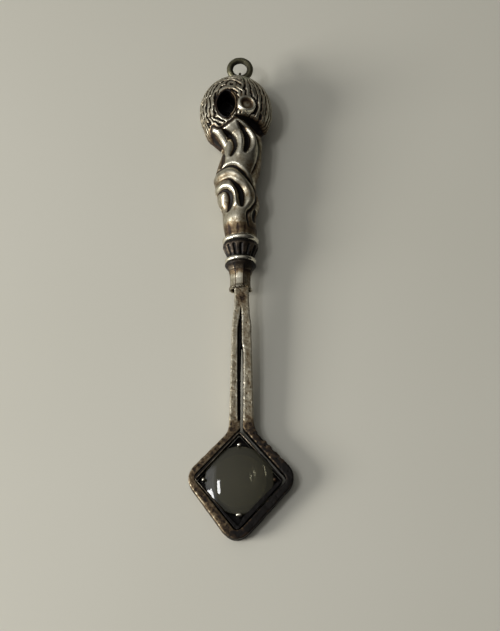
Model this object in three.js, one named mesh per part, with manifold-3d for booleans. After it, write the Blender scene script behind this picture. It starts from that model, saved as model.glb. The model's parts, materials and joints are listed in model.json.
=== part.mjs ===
// Chatelaine magnifying glass: a twisted silver handle with a scroll head and a hanging ring,
// a collared ferrule, and a two-legged strap frame that holds a small, thick round lens.
// Millimetres. The object is drawn lying flat, lens centre at zero, +Y to the ring, +Z out of its
// front face, and is then laid on the table, where its frame and the back of its head touch.
import * as THREE from 'three';
import { mergeVertices } from 'three/addons/utils/BufferGeometryUtils.js';
import Module from 'manifold-3d';

const wasm = await Module();
wasm.setup();

// Clearances
const seatGap = 0.1;
const seamGap = 0.1;
const runningGap = 0.09;
const overrun = 1;

// Lens
const lensRadius = 6.75;
const lensEdge = 0.9;
const lensBulge = 1.0;
const lensRaise = 0.2;
const lensShift = -0.15;

// Strap frame: one strip bent round the lens, its two ends side by side in the ferrule
const strapDepth = 2.6;
const strapEdge = 0.22;
const frameHalf = 10.4;
const frameOuterRound = 3.7;
const frameInnerRound = 1.5;
const legBendRound = 4;
const legRootHalf = 2.43;
const legTopHalf = 1.19;
const legShift = 0.24;
const legWaistHalf = 2.2;
const legWaistPlace = 18.3;
const legTopRun = 3.3;
const slitRoot = 0.42;
const slitTop = 0.14;
const slitShift = -0.08;
const tenonRadius = 1.25;
const tenonLength = 4.1;
const tenonShoulder = 0.1;

// Lens liner, the thin inner bezel, and the seat plate behind the lens
const linerFront = 1.35;
const linerBack = 1;
const linerOuterRound = 1.6;
const linerInnerRound = 0.8;
const seatPlateThickness = 0.3;
const seatPlateHold = 1.25;
const clawWire = 0.24;
const clawReach = 0.25;

// Ferrule and collars, from the mouth up
const ferruleMouth = 39.2;
const ferruleRadius = 2.18;
const ferruleBore = 1.95;
const ferruleFlare = 0.17;
const ferruleLength = 4;
const solderInset = 0.8;
const solderLength = 1.5;
const cupTopRadius = 3.2;
const cupLength = 1.55;
const cupLip = 0.39;
const lowerRingRadius = 2.67;
const lowerRingWire = 0.55;
const drumTopRadius = 3.68;
const drumFootRadius = 2.72;
const drumLength = 3;
const drumFlutes = 12;
const drumFluteDepth = 0.28;
const upperRingRadius = 3.16;
const upperRingWire = 0.62;

// Twisted body of the handle
const bodyLength = 24.5;
const bodyHalf = 4.3;
const wallShare = 0.6;

// Scroll head
const headHalfWidth = 7.68;
const headHalfLength = 8.5;
const headHalfDepth = 5.2;
const headRise = 28.7;
const headShift = -1.03;
const eyeletWidth = 4.1;
const eyeletLength = 6.3;
const bossRadius = 1.25;
const bossRim = 0.5;

// Hanging ring and the staple that it swings in
const ringRadius = 2.14;
const ringWire = 0.69;
const ringShift = -0.21;
const ringRise = 8.16;
const stapleWire = 0.27;
const stapleLeg = 2.2;
const channelHalfWidth = 1.3;
const channelHalfHeight = 0.86;

// Tang and filling inside the handle
const tangSide = 1.4;
const tangLength = 22;

// Depth of the small flats that are worn where the object lies on the table
const restWear = 0.1;

// Stations along the axis, each worked out from the one below it
const strapHalfDepth = strapDepth / 2;
const ferruleTop = ferruleMouth + ferruleLength;
const cupFoot = ferruleTop + seatGap;
const cupTop = cupFoot + cupLength;
const lowerRingPlace = cupTop + seatGap + lowerRingWire;
const drumFoot = lowerRingPlace + lowerRingWire + seatGap;
const drumTop = drumFoot + drumLength;
const upperRingPlace = drumTop + seatGap + upperRingWire;
const bodyFoot = upperRingPlace + upperRingWire + seatGap;
const headPlace = bodyFoot + headRise;
const hingePlace = headPlace + ringRise;
const tenonFoot = ferruleMouth - tenonShoulder;
const strapTop = tenonFoot + tenonLength;

// Solids to and from geometry
function solidOf(geometry) {
  const bare = new THREE.BufferGeometry();
  bare.setAttribute('position', geometry.getAttribute('position').clone());
  if (geometry.index) bare.setIndex(geometry.index.clone());
  const merged = mergeVertices(bare, 1e-4);
  const mesh = new wasm.Mesh({
    numProp: 3,
    vertProperties: new Float32Array(merged.getAttribute('position').array),
    triVerts: new Uint32Array(merged.index.array),
  });
  return new wasm.Manifold(mesh);
}

function geometryOf(solid) {
  const mesh = solid.getMesh();
  const geometry = new THREE.BufferGeometry();
  geometry.setAttribute('position', new THREE.BufferAttribute(new Float32Array(mesh.vertProperties), 3));
  geometry.setIndex(new THREE.BufferAttribute(new Uint32Array(mesh.triVerts), 1));
  const loose = geometry.toNonIndexed();
  loose.computeVertexNormals();
  return loose;
}

function joined(solids) {
  return solids.reduce((whole, solid) => whole.add(solid));
}

function cut(solid, tools) {
  return tools.reduce((rest, tool) => rest.subtract(tool), solid);
}

// A closed skin through rows of points, with a point at the middle of each end
function skin(rows) {
  const sides = rows[0].length;
  const middle = (row) => row.reduce((sum, p) => sum.clone().add(p), new THREE.Vector3()).divideScalar(sides);
  const points = [middle(rows[0]), ...rows.flat(), middle(rows[rows.length - 1])];
  const last = points.length - 1;
  const at = (row, side) => 1 + row * sides + (side % sides);
  const index = [];
  for (let side = 0; side < sides; side += 1) {
    index.push(0, at(0, side + 1), at(0, side));
    index.push(last, at(rows.length - 1, side), at(rows.length - 1, side + 1));
    for (let row = 0; row + 1 < rows.length; row += 1) {
      index.push(at(row, side), at(row, side + 1), at(row + 1, side + 1));
      index.push(at(row, side), at(row + 1, side + 1), at(row + 1, side));
    }
  }
  const geometry = new THREE.BufferGeometry().setFromPoints(points);
  geometry.setIndex(index);
  return solidOf(geometry);
}

// A round rod along a smooth curve, thick in the middle and drawn to its end sizes
function taperedRod(points, radii, sides, steps, flat = 1) {
  const curve = new THREE.CatmullRomCurve3(points);
  const girth = new THREE.CatmullRomCurve3(radii.map((radius) => new THREE.Vector3(radius, 0, 0)));
  const rows = [];
  for (let step = 0; step <= steps; step += 1) {
    const t = step / steps;
    const centre = curve.getPoint(t);
    const along = curve.getTangent(t);
    const across = new THREE.Vector3(0, 0, 1).cross(along).normalize();
    const up = along.clone().cross(across).normalize();
    const radius = girth.getPoint(t).x;
    const row = [];
    for (let side = 0; side < sides; side += 1) {
      const angle = (side / sides) * 2 * Math.PI;
      row.push(centre.clone()
        .addScaledVector(across, radius * Math.cos(angle))
        .addScaledVector(up, radius * flat * Math.sin(angle)));
    }
    rows.push(row);
  }
  return skin(rows);
}

function lathe(profile, segments) {
  const points = profile.map(([radius, height]) => new THREE.Vector2(radius, height));
  return solidOf(new THREE.LatheGeometry(points, segments));
}

function box(low, high) {
  const size = high.map((value, axis) => value - low[axis]);
  const geometry = new THREE.BoxGeometry(...size);
  geometry.translate(...high.map((value, axis) => (value + low[axis]) / 2));
  return solidOf(geometry);
}

function wireRing(radius, wire, sides, segments) {
  return new THREE.TorusGeometry(radius, wire, sides, segments);
}

// Outlines with rounded corners: each corner is a point and the radius of its arc
function roundedPath(path, corners) {
  const count = corners.length;
  corners.forEach(([x, y, radius], place) => {
    const corner = new THREE.Vector2(x, y);
    const before = new THREE.Vector2(...corners[(place + count - 1) % count]);
    const after = new THREE.Vector2(...corners[(place + 1) % count]);
    const toBefore = before.clone().sub(corner);
    const toAfter = after.clone().sub(corner);
    const half = Math.acos(toBefore.clone().normalize().dot(toAfter.clone().normalize())) / 2;
    const reach = Math.min(radius / Math.tan(half), toBefore.length() / 2, toAfter.length() / 2);
    const start = corner.clone().addScaledVector(toBefore.normalize(), reach);
    const end = corner.clone().addScaledVector(toAfter.normalize(), reach);
    if (place === 0) path.moveTo(start.x, start.y);
    else path.lineTo(start.x, start.y);
    if (reach > 0) path.quadraticCurveTo(corner.x, corner.y, end.x, end.y);
  });
  path.closePath();
  return path;
}

// A slab cut from an outline, from its back height to its front height
function slab(shape, back, front, curveSegments) {
  const depth = front - back;
  const geometry = new THREE.ExtrudeGeometry(shape, { depth, bevelEnabled: false, curveSegments });
  geometry.translate(0, 0, back);
  return solidOf(geometry);
}

// Frame corners, as shares of half the frame's width: left, bottom, right and top
const outerCornerShares = [[-1.052, 0.05], [-0.085, -1.318], [1.103, 0.043], [0.064, 1.196]];
const innerCornerShares = [[-0.889, 0.043], [-0.058, -1.038], [0.904, 0.01], [0.034, 1.01]];
const linerCornerShares = [[-0.87, 0.038], [-0.052, -0.981], [0.817, -0.01], [-0.014, 0.933]];
const linerMouthShares = [[-0.816, 0], [-0.0145, -0.86], [0.788, 0], [-0.0145, 0.86]];

function cornersOf(shares, radius, inset = 0) {
  return shares.map(([x, y]) => {
    const away = Math.hypot(x, y) * frameHalf;
    const scale = (frameHalf * (away - inset)) / away;
    return [x * scale, y * scale, radius];
  });
}

function crossing([ax, ay], [bx, by], x) {
  return ay + ((x - ax) * (by - ay)) / (bx - ax);
}

// Strap frame
function strapOutline() {
  const [left, bottom, right, top] = cornersOf(outerCornerShares, frameOuterRound);
  const [innerLeft, innerBottom, innerRight, innerTop] = cornersOf(innerCornerShares, frameInnerRound);
  const rootLeft = legShift - legRootHalf;
  const rootRight = legShift + legRootHalf;
  const waistLeft = legShift - legWaistHalf;
  const waistRight = legShift + legWaistHalf;
  const topLeft = legShift - legTopHalf;
  const topRight = legShift + legTopHalf;
  const topStart = ferruleMouth - legTopRun;
  const slitLeft = slitShift - slitRoot / 2;
  const slitRight = slitShift + slitRoot / 2;
  return roundedPath(new THREE.Shape(), [
    [slitShift - slitTop / 2, strapTop, 0],
    [topLeft, strapTop, 0],
    [topLeft, topStart, legBendRound],
    [waistLeft, legWaistPlace, legBendRound],
    [rootLeft, crossing(left, top, rootLeft), legBendRound],
    left,
    bottom,
    right,
    [rootRight, crossing(right, top, rootRight), legBendRound],
    [waistRight, legWaistPlace, legBendRound],
    [topRight, topStart, legBendRound],
    [topRight, strapTop, 0],
    [slitShift + slitTop / 2, strapTop, 0],
    [slitRight, legWaistPlace, legBendRound],
    [slitRight, crossing(innerRight, innerTop, slitRight), linerInnerRound],
    innerRight,
    innerBottom,
    innerLeft,
    [slitLeft, crossing(innerLeft, innerTop, slitLeft), linerInnerRound],
    [slitLeft, legWaistPlace, legBendRound],
  ]);
}

function frameStrap() {
  const geometry = new THREE.ExtrudeGeometry(strapOutline(), {
    depth: strapDepth - 2 * strapEdge,
    bevelEnabled: true,
    bevelThickness: strapEdge,
    bevelSize: strapEdge,
    bevelOffset: -strapEdge,
    bevelSegments: 1,
    curveSegments: 5,
  });
  geometry.translate(0, 0, strapEdge - strapHalfDepth);
  const round = new THREE.CylinderGeometry(tenonRadius, tenonRadius, tenonLength + 2 * overrun, 20);
  round.translate(0, tenonFoot + tenonLength / 2, 0);
  const wide = legRootHalf + overrun;
  const block = box([-wide, tenonFoot, -strapDepth], [wide, strapTop + overrun, strapDepth]);
  return solidOf(geometry).subtract(block.subtract(solidOf(round)));
}

// Lens: two domes on a short edge
function lensSolid(grow) {
  const radius = lensRadius + grow;
  const half = lensEdge / 2 + grow;
  const domeRadius = (lensRadius ** 2 + lensBulge ** 2) / (2 * lensBulge);
  const dome = (share) => Math.sqrt(domeRadius ** 2 - (share * lensRadius) ** 2) - domeRadius + lensBulge;
  const shares = [0, 0.2, 0.4, 0.6, 0.8, 0.92, 1];
  const back = shares.map((share) => [share * radius, -half - dome(share)]);
  const front = shares.map((share) => [share * radius, half + dome(share)]).reverse();
  const points = [...back, ...front].map(([out, height]) => new THREE.Vector2(out, height));
  const geometry = new THREE.LatheGeometry(points, 30);
  geometry.rotateX(Math.PI / 2);
  geometry.translate(lensShift, 0, lensRaise);
  return solidOf(geometry);
}

function lensLiner() {
  const shape = roundedPath(new THREE.Shape(), cornersOf(linerCornerShares, linerOuterRound));
  shape.holes.push(roundedPath(new THREE.Path(), cornersOf(linerMouthShares, linerInnerRound)));
  return slab(shape, -linerBack, linerFront, 4).subtract(lensSolid(seatGap));
}

function seatPlate() {
  const corners = cornersOf(linerMouthShares, linerInnerRound, seatGap * Math.SQRT2);
  const shape = roundedPath(new THREE.Shape(), corners);
  const hole = new THREE.Path();
  hole.absarc(lensShift, 0, lensRadius - seatPlateHold, 0, 2 * Math.PI, true);
  shape.holes.push(hole);
  return slab(shape, -linerBack, seatPlateThickness - linerBack, 12);
}

// A claw stands on the seat plate at one corner and bends over the lens's edge
function lensClaw(angle) {
  const outward = new THREE.Vector3(Math.cos(angle), Math.sin(angle), 0);
  const centre = new THREE.Vector3(lensShift, 0, 0);
  const place = (out, height) => centre.clone().addScaledVector(outward, out).setZ(height);
  const post = lensRadius + seatGap + clawWire;
  const foot = seatPlateThickness - linerBack + seatGap;
  const rim = lensRaise + lensEdge / 2;
  const top = rim + lensBulge / 4 + seatGap + clawWire;
  const curve = new THREE.CatmullRomCurve3([
    place(post, foot),
    place(post, (foot + rim) / 2),
    place(post, rim),
    place(lensRadius - clawReach, top),
  ]);
  const section = new THREE.Shape();
  section.absarc(0, 0, clawWire, 0, 2 * Math.PI, false);
  return solidOf(new THREE.ExtrudeGeometry(section, {
    steps: 6, curveSegments: 4, bevelEnabled: false, extrudePath: curve,
  }));
}

// Ferrule pieces, turned about the handle's axis
function ferruleTube() {
  return lathe([
    [ferruleBore, ferruleMouth],
    [ferruleRadius + ferruleFlare, ferruleMouth],
    [ferruleRadius + ferruleFlare, ferruleMouth + ferruleFlare],
    [ferruleRadius, ferruleMouth + 4 * ferruleFlare],
    [ferruleRadius, ferruleTop],
    [ferruleBore, ferruleTop],
    [ferruleBore, ferruleMouth],
  ], 24);
}

function ferruleSolder() {
  const foot = ferruleMouth + solderInset;
  const top = foot + solderLength;
  const outer = ferruleBore - seatGap;
  const inner = tenonRadius + seatGap;
  return lathe([[inner, foot], [outer, foot], [outer, top], [inner, top], [inner, foot]], 24);
}

function ferruleCup() {
  const coveShares = [[1, 0], [0.62, 0.13], [0.34, 0.33], [0.16, 0.6], [0.06, 0.86]];
  const spread = cupTopRadius - ferruleRadius;
  const coveLength = cupLength - cupLip;
  const cove = coveShares.map(([out, down]) => [
    ferruleRadius + spread * out,
    cupFoot + coveLength * (1 - down),
  ]);
  return lathe([
    [ferruleBore, cupFoot],
    [ferruleRadius, cupFoot],
    ...cove.reverse(),
    [cupTopRadius, cupTop],
    [ferruleBore, cupTop],
    [ferruleBore, cupFoot],
  ], 24);
}

function flutedCollar() {
  const profileShares = [[1, 0.94], [0.88, 1], [0.72, 0.99], [0.45, 0.6], [0.2, 0.22], [0, 0]];
  const spread = drumTopRadius - drumFootRadius;
  const sides = drumFlutes * 4;
  const rows = profileShares.map(([height, out], place) => {
    const radius = drumFootRadius + spread * out;
    const depth = place === 0 ? 0 : drumFluteDepth;
    const row = [];
    for (let side = 0; side < sides; side += 1) {
      const angle = (side / sides) * 2 * Math.PI;
      const dip = depth * (0.5 + 0.5 * Math.cos(angle * drumFlutes)) ** 3;
      row.push(new THREE.Vector3(
        (radius - dip) * Math.cos(angle),
        drumFoot + drumLength * height,
        (radius - dip) * Math.sin(angle),
      ));
    }
    return row;
  });
  const bore = new THREE.CylinderGeometry(ferruleBore, ferruleBore, drumLength + 2 * overrun, 24);
  bore.translate(0, drumFoot + drumLength / 2, 0);
  return skin(rows).subtract(solidOf(bore));
}

function collarRing(radius, wire, place) {
  const geometry = wireRing(radius, wire, 8, 28);
  geometry.rotateX(Math.PI / 2);
  geometry.translate(0, place, 0);
  return solidOf(geometry);
}

// Body sections, evenly spaced from the collar up: left edge, right edge and depth, as shares of bodyHalf
const bodySectionShares = [
  [-0.72, 0.765, 0.72], [-0.79, 0.77, 0.745], [-0.85, 0.745, 0.77],
  [-0.865, 0.8, 0.815], [-0.95, 0.92, 0.885], [-1.1, 0.86, 0.93],
  [-1.2, 0.75, 0.955], [-1.245, 0.755, 0.955], [-1.21, 0.885, 0.955],
  [-1.12, 0.975, 0.955], [-1.01, 1.02, 0.955], [-0.91, 1.03, 0.955],
  [-0.885, 1.06, 0.955], [-0.815, 0.975, 0.93], [-0.675, 0.77, 0.79],
];
const bodySectionPoints = bodySectionShares.map((shares) => new THREE.Vector3(...shares));
const bodySections = new THREE.CatmullRomCurve3(bodySectionPoints);

function bodySection(height) {
  const share = THREE.MathUtils.clamp((height - bodyFoot) / bodyLength, 0, 1);
  const { x: left, y: right, z: depth } = bodySections.getPoint(share);
  return {
    middle: (bodyHalf * (left + right)) / 2,
    half: (bodyHalf * (right - left)) / 2,
    depth: bodyHalf * depth,
  };
}

function bodyForm(share, grow, top, rowCount, sides) {
  const rows = [];
  for (let row = 0; row <= rowCount; row += 1) {
    const height = bodyFoot + (top - bodyFoot) * (row / rowCount);
    const section = bodySection(height);
    const ring = [];
    for (let side = 0; side < sides; side += 1) {
      const angle = (side / sides) * 2 * Math.PI;
      ring.push(new THREE.Vector3(
        section.middle + (section.half * share + grow) * Math.cos(angle),
        height,
        -(section.depth * share + grow) * Math.sin(angle),
      ));
    }
    rows.push(ring);
  }
  return skin(rows);
}

function bodyFront(x, y) {
  const section = bodySection(y);
  const across = Math.min(Math.abs(x - section.middle) / section.half, 0.95);
  return section.depth * Math.sqrt(1 - across ** 2);
}

function headFront(x, y) {
  const across = (x - headShift) / headHalfWidth;
  const along = (y - headPlace) / headHalfLength;
  return headHalfDepth * Math.sqrt(Math.max(1 - across ** 2 - along ** 2, 0));
}

function handleFront(x, y) {
  return Math.max(bodyFront(x, y), headFront(x, y));
}

// Flutes and creases on the front and back of the body. Each has its width, its depth under the
// surface, both as shares of bodyHalf, and points: share of bodyHalf across, share of bodyLength up.
const fluteShares = [
  { width: 0.25, depth: 0.2, points: [[-0.2, 1], [0.18, 0.91], [0.37, 0.83], [0.21, 0.73]] },
  { width: 0.2, depth: 0.18, points: [[-0.85, 0.945], [-0.46, 0.875], [-0.25, 0.8], [-0.41, 0.7]] },
  { width: 0.17, depth: 0.16, points: [[-1.3, 0.89], [-1.09, 0.82], [-0.9, 0.74]] },
  { width: 0.32, depth: 0.22, points: [[-1.2, 0.475], [-0.61, 0.48], [-0.27, 0.433], [0.02, 0.367],
    [0.07, 0.247]] },
  { width: 0.25, depth: 0.2, points: [[-1.15, 0.387], [-0.74, 0.384], [-0.55, 0.32], [-0.65, 0.214]] },
  { width: 0.14, depth: 0.1, points: [[-1.08, 0.588], [-0.34, 0.597], [0.31, 0.512], [0.69, 0.43],
    [0.72, 0.31], [0.37, 0.19], [0.36, 0.08]] },
  { width: 0.3, depth: 0.25, points: [[-0.33, 1.053], [0.3, 1.029], [0.74, 0.987], [1.08, 0.911]] },
];

function flute({ width, depth, points }, side) {
  const radius = (bodyHalf * width) / 2;
  const places = points.map(([across, up]) => {
    const x = across * bodyHalf;
    const y = bodyFoot + up * bodyLength;
    return new THREE.Vector3(x, y, side * (handleFront(x, y) + radius - depth * bodyHalf));
  });
  const swell = places.map((place, step) => {
    const end = step === 0 || step === places.length - 1;
    return end ? radius / 4 : radius;
  });
  return taperedRod(places, swell, 6, 2 * (places.length - 1) + 2, 1.6);
}

// Scroll head: a thick oval with an eyelet through it, a curled boss beside the eyelet,
// and a lock that runs down its left side into the body
function headForm() {
  const oval = new THREE.SphereGeometry(1, 30, 18);
  oval.rotateX(Math.PI / 2);
  oval.scale(headHalfWidth, headHalfLength, headHalfDepth);
  oval.translate(headShift, headPlace, 0);
  const lockShares = [[-0.52, -0.33, 0.4], [-0.45, -0.67, 0.36], [-0.3, -0.95, 0.28], [-0.1, -1.22, 0.17]];
  const places = lockShares.map(([across, up]) => new THREE.Vector3(
    headShift + across * headHalfWidth,
    headPlace + up * headHalfLength,
    0,
  ));
  const lock = taperedRod(places, lockShares.map((shares) => shares[2] * headHalfWidth), 16, 8, 1.35);
  return solidOf(oval).add(lock);
}

const eyeletShares = { across: -0.25, up: -0.01 };

// The eyelet's three curves, anticlockwise from its foot, as shares of its half width and half length
const eyeletCurveShares = [
  [1, -0.5, 1.3, 0.3, 0.2, 0.92],
  [-0.5, 1.15, -1.1, 0.4, -1, -0.05],
  [-0.9, -0.5, -0.4, -0.8, 0.2, -1],
];

function eyelet() {
  const x = headShift + eyeletShares.across * headHalfWidth;
  const y = headPlace + eyeletShares.up * headHalfLength;
  const wide = eyeletWidth / 2;
  const tall = eyeletLength / 2;
  const shape = new THREE.Shape();
  shape.moveTo(x + wide * 0.2, y - tall);
  eyeletCurveShares.forEach((shares) => {
    const ends = shares.map((share, place) => (place % 2 === 0 ? x + wide * share : y + tall * share));
    shape.bezierCurveTo(...ends);
  });
  return slab(shape, -headHalfDepth - overrun, headHalfDepth + overrun, 5);
}

const bossShares = { across: 0.295, up: -0.03 };

function boss(side) {
  const x = headShift + bossShares.across * headHalfWidth;
  const y = headPlace + bossShares.up * headHalfLength;
  const surface = headFront(x, y);
  const rim = wireRing(bossRadius, bossRim, 6, 16);
  rim.translate(x, y, side * surface);
  const pit = new THREE.SphereGeometry(bossRadius - bossRim / 2, 12, 8);
  pit.translate(x, y, side * (surface + bossRim));
  return { rim: solidOf(rim), pit: solidOf(pit) };
}

// Crown: the channel that the ring swings in, and the staple's two holes
function crownChannel() {
  const length = 2 * (headHalfWidth + overrun);
  const geometry = new THREE.CylinderGeometry(1, 1, 1, 14);
  geometry.rotateZ(Math.PI / 2);
  geometry.scale(length, channelHalfHeight, channelHalfWidth);
  geometry.translate(ringShift, hingePlace, 0);
  return solidOf(geometry);
}

function staple(wire, extra) {
  const bow = ringWire + runningGap + stapleWire;
  const path = new THREE.CurvePath();
  const place = (y, z) => new THREE.Vector3(ringShift, y, z);
  const points = [place(hingePlace - stapleLeg - extra, -bow)];
  for (let step = 0; step <= 7; step += 1) {
    const angle = (step / 7) * Math.PI;
    points.push(place(hingePlace + bow * Math.sin(angle), -bow * Math.cos(angle)));
  }
  points.push(place(hingePlace - stapleLeg - extra, bow));
  const rows = points.map((point, step) => {
    const before = points[Math.max(step - 1, 0)];
    const after = points[Math.min(step + 1, points.length - 1)];
    const along = after.clone().sub(before).normalize();
    const across = new THREE.Vector3(1, 0, 0);
    const up = along.clone().cross(across);
    const row = [];
    for (let side = 0; side < 6; side += 1) {
      const angle = (side / 6) * 2 * Math.PI;
      row.push(point.clone()
        .addScaledVector(across, wire * Math.cos(angle))
        .addScaledVector(up, wire * Math.sin(angle)));
    }
    return row;
  });
  return skin(rows);
}

// Filling: a core of pitch in the hollow handle, with a stem down through the collars
function fillingForm(grow) {
  const top = bodyFoot + bodyLength * 0.9;
  const core = bodyForm(wallShare, grow, top, 12, 16);
  const stemFoot = strapTop + seatGap - grow;
  const radius = ferruleBore - seatGap;
  const stem = new THREE.CylinderGeometry(radius, radius, bodyFoot + overrun - stemFoot, 20);
  stem.translate(0, (bodyFoot + overrun + stemFoot) / 2, 0);
  return core.add(solidOf(stem));
}

function tangForm(grow) {
  const half = tangSide / 2 + grow;
  const foot = strapTop + 2 * seatGap;
  return box([-half, foot - grow - (grow > 0 ? overrun : 0), -half], [half, foot + tangLength + grow, half]);
}

function handleShell(form, side) {
  const wide = 2 * headHalfWidth;
  const far = side * 2 * headHalfDepth;
  const near = (side * seamGap) / 2;
  const half = box([-wide, 0, Math.min(near, far)], [wide, 2 * headPlace, Math.max(near, far)]);
  return form.intersect(half);
}

function handleForm() {
  const bosses = [boss(1), boss(-1)];
  const flutes = fluteShares.flatMap((shares) => [flute(shares, 1), flute(shares, -1)]);
  const body = bodyForm(1, 0, bodyFoot + bodyLength, 18, 26);
  const form = joined([body, headForm(), ...bosses.map(({ rim }) => rim)]);
  return cut(form, [
    eyelet(),
    ...bosses.map(({ pit }) => pit),
    ...flutes,
    crownChannel(),
    staple(stapleWire + seatGap, seatGap),
    fillingForm(seatGap),
  ]);
}

function hangingRing() {
  const geometry = wireRing(ringRadius, ringWire, 10, 28);
  geometry.translate(ringShift, hingePlace + ringRadius, 0);
  return solidOf(geometry);
}

// Finishes
const finishes = {
  silver: { color: 0xb9b2a4, roughness: 0.32, metalness: 1 },
  darkSilver: { color: 0x5c5245, roughness: 0.45, metalness: 1 },
  strapMetal: { color: 0x7d6a52, roughness: 0.5, metalness: 1 },
  ringMetal: { color: 0x57543f, roughness: 0.5, metalness: 1 },
  iron: { color: 0x4a4642, roughness: 0.6, metalness: 1 },
  pitch: { color: 0x2b1c14, roughness: 0.7, metalness: 0 },
  glass: { color: 0x4a473d, roughness: 0.05, metalness: 0 },
};

// Every piece by its name, flat, with its finish
const pieces = new Map();

function addPiece(name, solid, finish) {
  pieces.set(name, { solid, finish });
}

const handle = handleForm();
addPiece('suspension_ring', hangingRing(), 'ringMetal');
addPiece('ring_staple', staple(stapleWire, 0), 'ringMetal');
addPiece('handle_shell_front', handleShell(handle, 1), 'silver');
addPiece('handle_shell_back', handleShell(handle, -1), 'silver');
addPiece('handle_filling', cut(fillingForm(0), [tangForm(seatGap)]), 'pitch');
addPiece('tang', tangForm(0), 'iron');
addPiece('upper_collar_ring', collarRing(upperRingRadius, upperRingWire, upperRingPlace), 'silver');
addPiece('fluted_collar', flutedCollar(), 'darkSilver');
addPiece('lower_collar_ring', collarRing(lowerRingRadius, lowerRingWire, lowerRingPlace), 'silver');
addPiece('ferrule_cup', ferruleCup(), 'darkSilver');
addPiece('ferrule_tube', ferruleTube(), 'silver');
addPiece('ferrule_solder', ferruleSolder(), 'pitch');
addPiece('frame_strap', frameStrap(), 'strapMetal');
addPiece('lens_liner', lensLiner(), 'darkSilver');
addPiece('lens_seat_plate', seatPlate(), 'darkSilver');
addPiece('lens', lensSolid(0), 'glass');
['right', 'top', 'left', 'bottom'].forEach((corner, place) => {
  addPiece(`lens_claw_${corner}`, lensClaw((place * Math.PI) / 2), 'silver');
});

// Lay the object down: it turns about X until its head and its frame touch the table together
const outlinePlaces = [...pieces.values()].map(({ solid }) => solid.getMesh().vertProperties);

function lowest(tilt, isPart) {
  let low = Infinity;
  outlinePlaces.forEach((places) => {
    for (let step = 0; step < places.length; step += 3) {
      const y = places[step + 1];
      const height = y * Math.sin(tilt) + places[step + 2] * Math.cos(tilt);
      if (isPart(y)) low = Math.min(low, height);
    }
  });
  return low;
}

function restTilt() {
  let flat = 0;
  let steep = Math.PI / 8;
  for (let step = 0; step < 24; step += 1) {
    const tilt = (flat + steep) / 2;
    const headLow = lowest(tilt, (y) => y > ferruleMouth);
    const frameLow = lowest(tilt, (y) => y <= ferruleMouth);
    if (headLow < frameLow) flat = tilt;
    else steep = tilt;
  }
  return (flat + steep) / 2;
}

const tilt = restTilt();

// The head's back and the frame's foot are worn flat in the table's plane
function wornFlat(solid) {
  const top = lowest(tilt, () => true) + restWear;
  const block = new THREE.BoxGeometry(4 * headHalfWidth, 4 * headPlace, headHalfDepth);
  block.translate(0, 0, top - headHalfDepth / 2);
  block.rotateX(-tilt);
  return solid.subtract(solidOf(block));
}

const object = new THREE.Group();
pieces.forEach(({ solid, finish }, name) => {
  const touchesTable = name === 'handle_shell_back' || name === 'frame_strap';
  const geometry = geometryOf(touchesTable ? wornFlat(solid) : solid);
  const mesh = new THREE.Mesh(geometry, new THREE.MeshStandardMaterial(finishes[finish]));
  mesh.name = name;
  object.add(mesh);
});

const laid = new THREE.Group();
laid.add(object);
object.rotation.x = tilt;
laid.updateMatrixWorld(true);
const bounds = new THREE.Box3().setFromObject(laid, true);
const middle = bounds.getCenter(new THREE.Vector3());
object.position.set(-middle.x, -middle.y, -bounds.min.z);

export default laid;
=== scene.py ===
import json
import math
from collections import Counter
from contextlib import contextmanager

import bpy
import numpy as np
from mathutils import Matrix, Vector, kdtree


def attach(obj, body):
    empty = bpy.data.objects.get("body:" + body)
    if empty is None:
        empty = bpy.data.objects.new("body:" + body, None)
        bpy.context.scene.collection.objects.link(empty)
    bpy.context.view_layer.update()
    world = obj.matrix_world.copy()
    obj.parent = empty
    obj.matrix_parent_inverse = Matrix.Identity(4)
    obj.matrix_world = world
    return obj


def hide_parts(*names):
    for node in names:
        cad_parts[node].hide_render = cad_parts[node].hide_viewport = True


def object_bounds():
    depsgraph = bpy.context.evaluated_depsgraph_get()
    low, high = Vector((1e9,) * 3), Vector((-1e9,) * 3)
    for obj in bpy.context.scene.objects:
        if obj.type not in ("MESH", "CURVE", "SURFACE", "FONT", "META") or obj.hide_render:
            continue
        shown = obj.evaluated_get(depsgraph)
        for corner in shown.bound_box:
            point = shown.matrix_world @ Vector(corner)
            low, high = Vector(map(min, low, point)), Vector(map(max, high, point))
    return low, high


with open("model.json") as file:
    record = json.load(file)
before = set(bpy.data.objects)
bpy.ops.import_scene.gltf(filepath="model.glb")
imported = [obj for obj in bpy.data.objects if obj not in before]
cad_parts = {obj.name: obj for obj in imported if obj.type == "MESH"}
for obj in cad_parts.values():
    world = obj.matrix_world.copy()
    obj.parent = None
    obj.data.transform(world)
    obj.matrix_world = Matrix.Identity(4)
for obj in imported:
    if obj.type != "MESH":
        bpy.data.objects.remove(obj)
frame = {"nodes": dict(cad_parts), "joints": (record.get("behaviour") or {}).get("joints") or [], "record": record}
cad_low, cad_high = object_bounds()

MM = 0.001

# Where the flat drawing lies in the frame: the strap's back gives the tilt, the hinge the place
RING_SHIFT = -0.21
HINGE_RISE = 87.45
strap_face = next(mount for mount in frame["record"]["mounts"] if mount["name"] == "strap_back_face")
hinge = next(joint for joint in frame["joints"] if joint["name"] == "ring_swing")
TILT = math.asin(strap_face["axis"][1])
LAID = (
    Matrix.Translation(hinge["pos_m"])
    @ Matrix.Rotation(TILT, 4, "X")
    @ Matrix.Scale(MM, 4)
    @ Matrix.Translation((-RING_SHIFT, -HINGE_RISE, 0))
)


def flat_box(node):
    """Lowest and highest corner of a frame node in the flat drawing, in millimetres."""
    back = LAID.inverted()
    places = np.array([back @ vertex.co for vertex in frame["nodes"][node].data.vertices])
    return places.min(0), places.max(0)


# Modelling helpers. Vertices closer than this merge, in general and along a cut through the carving
WELD = 0.0005
CUT_WELD = 0.004


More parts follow.
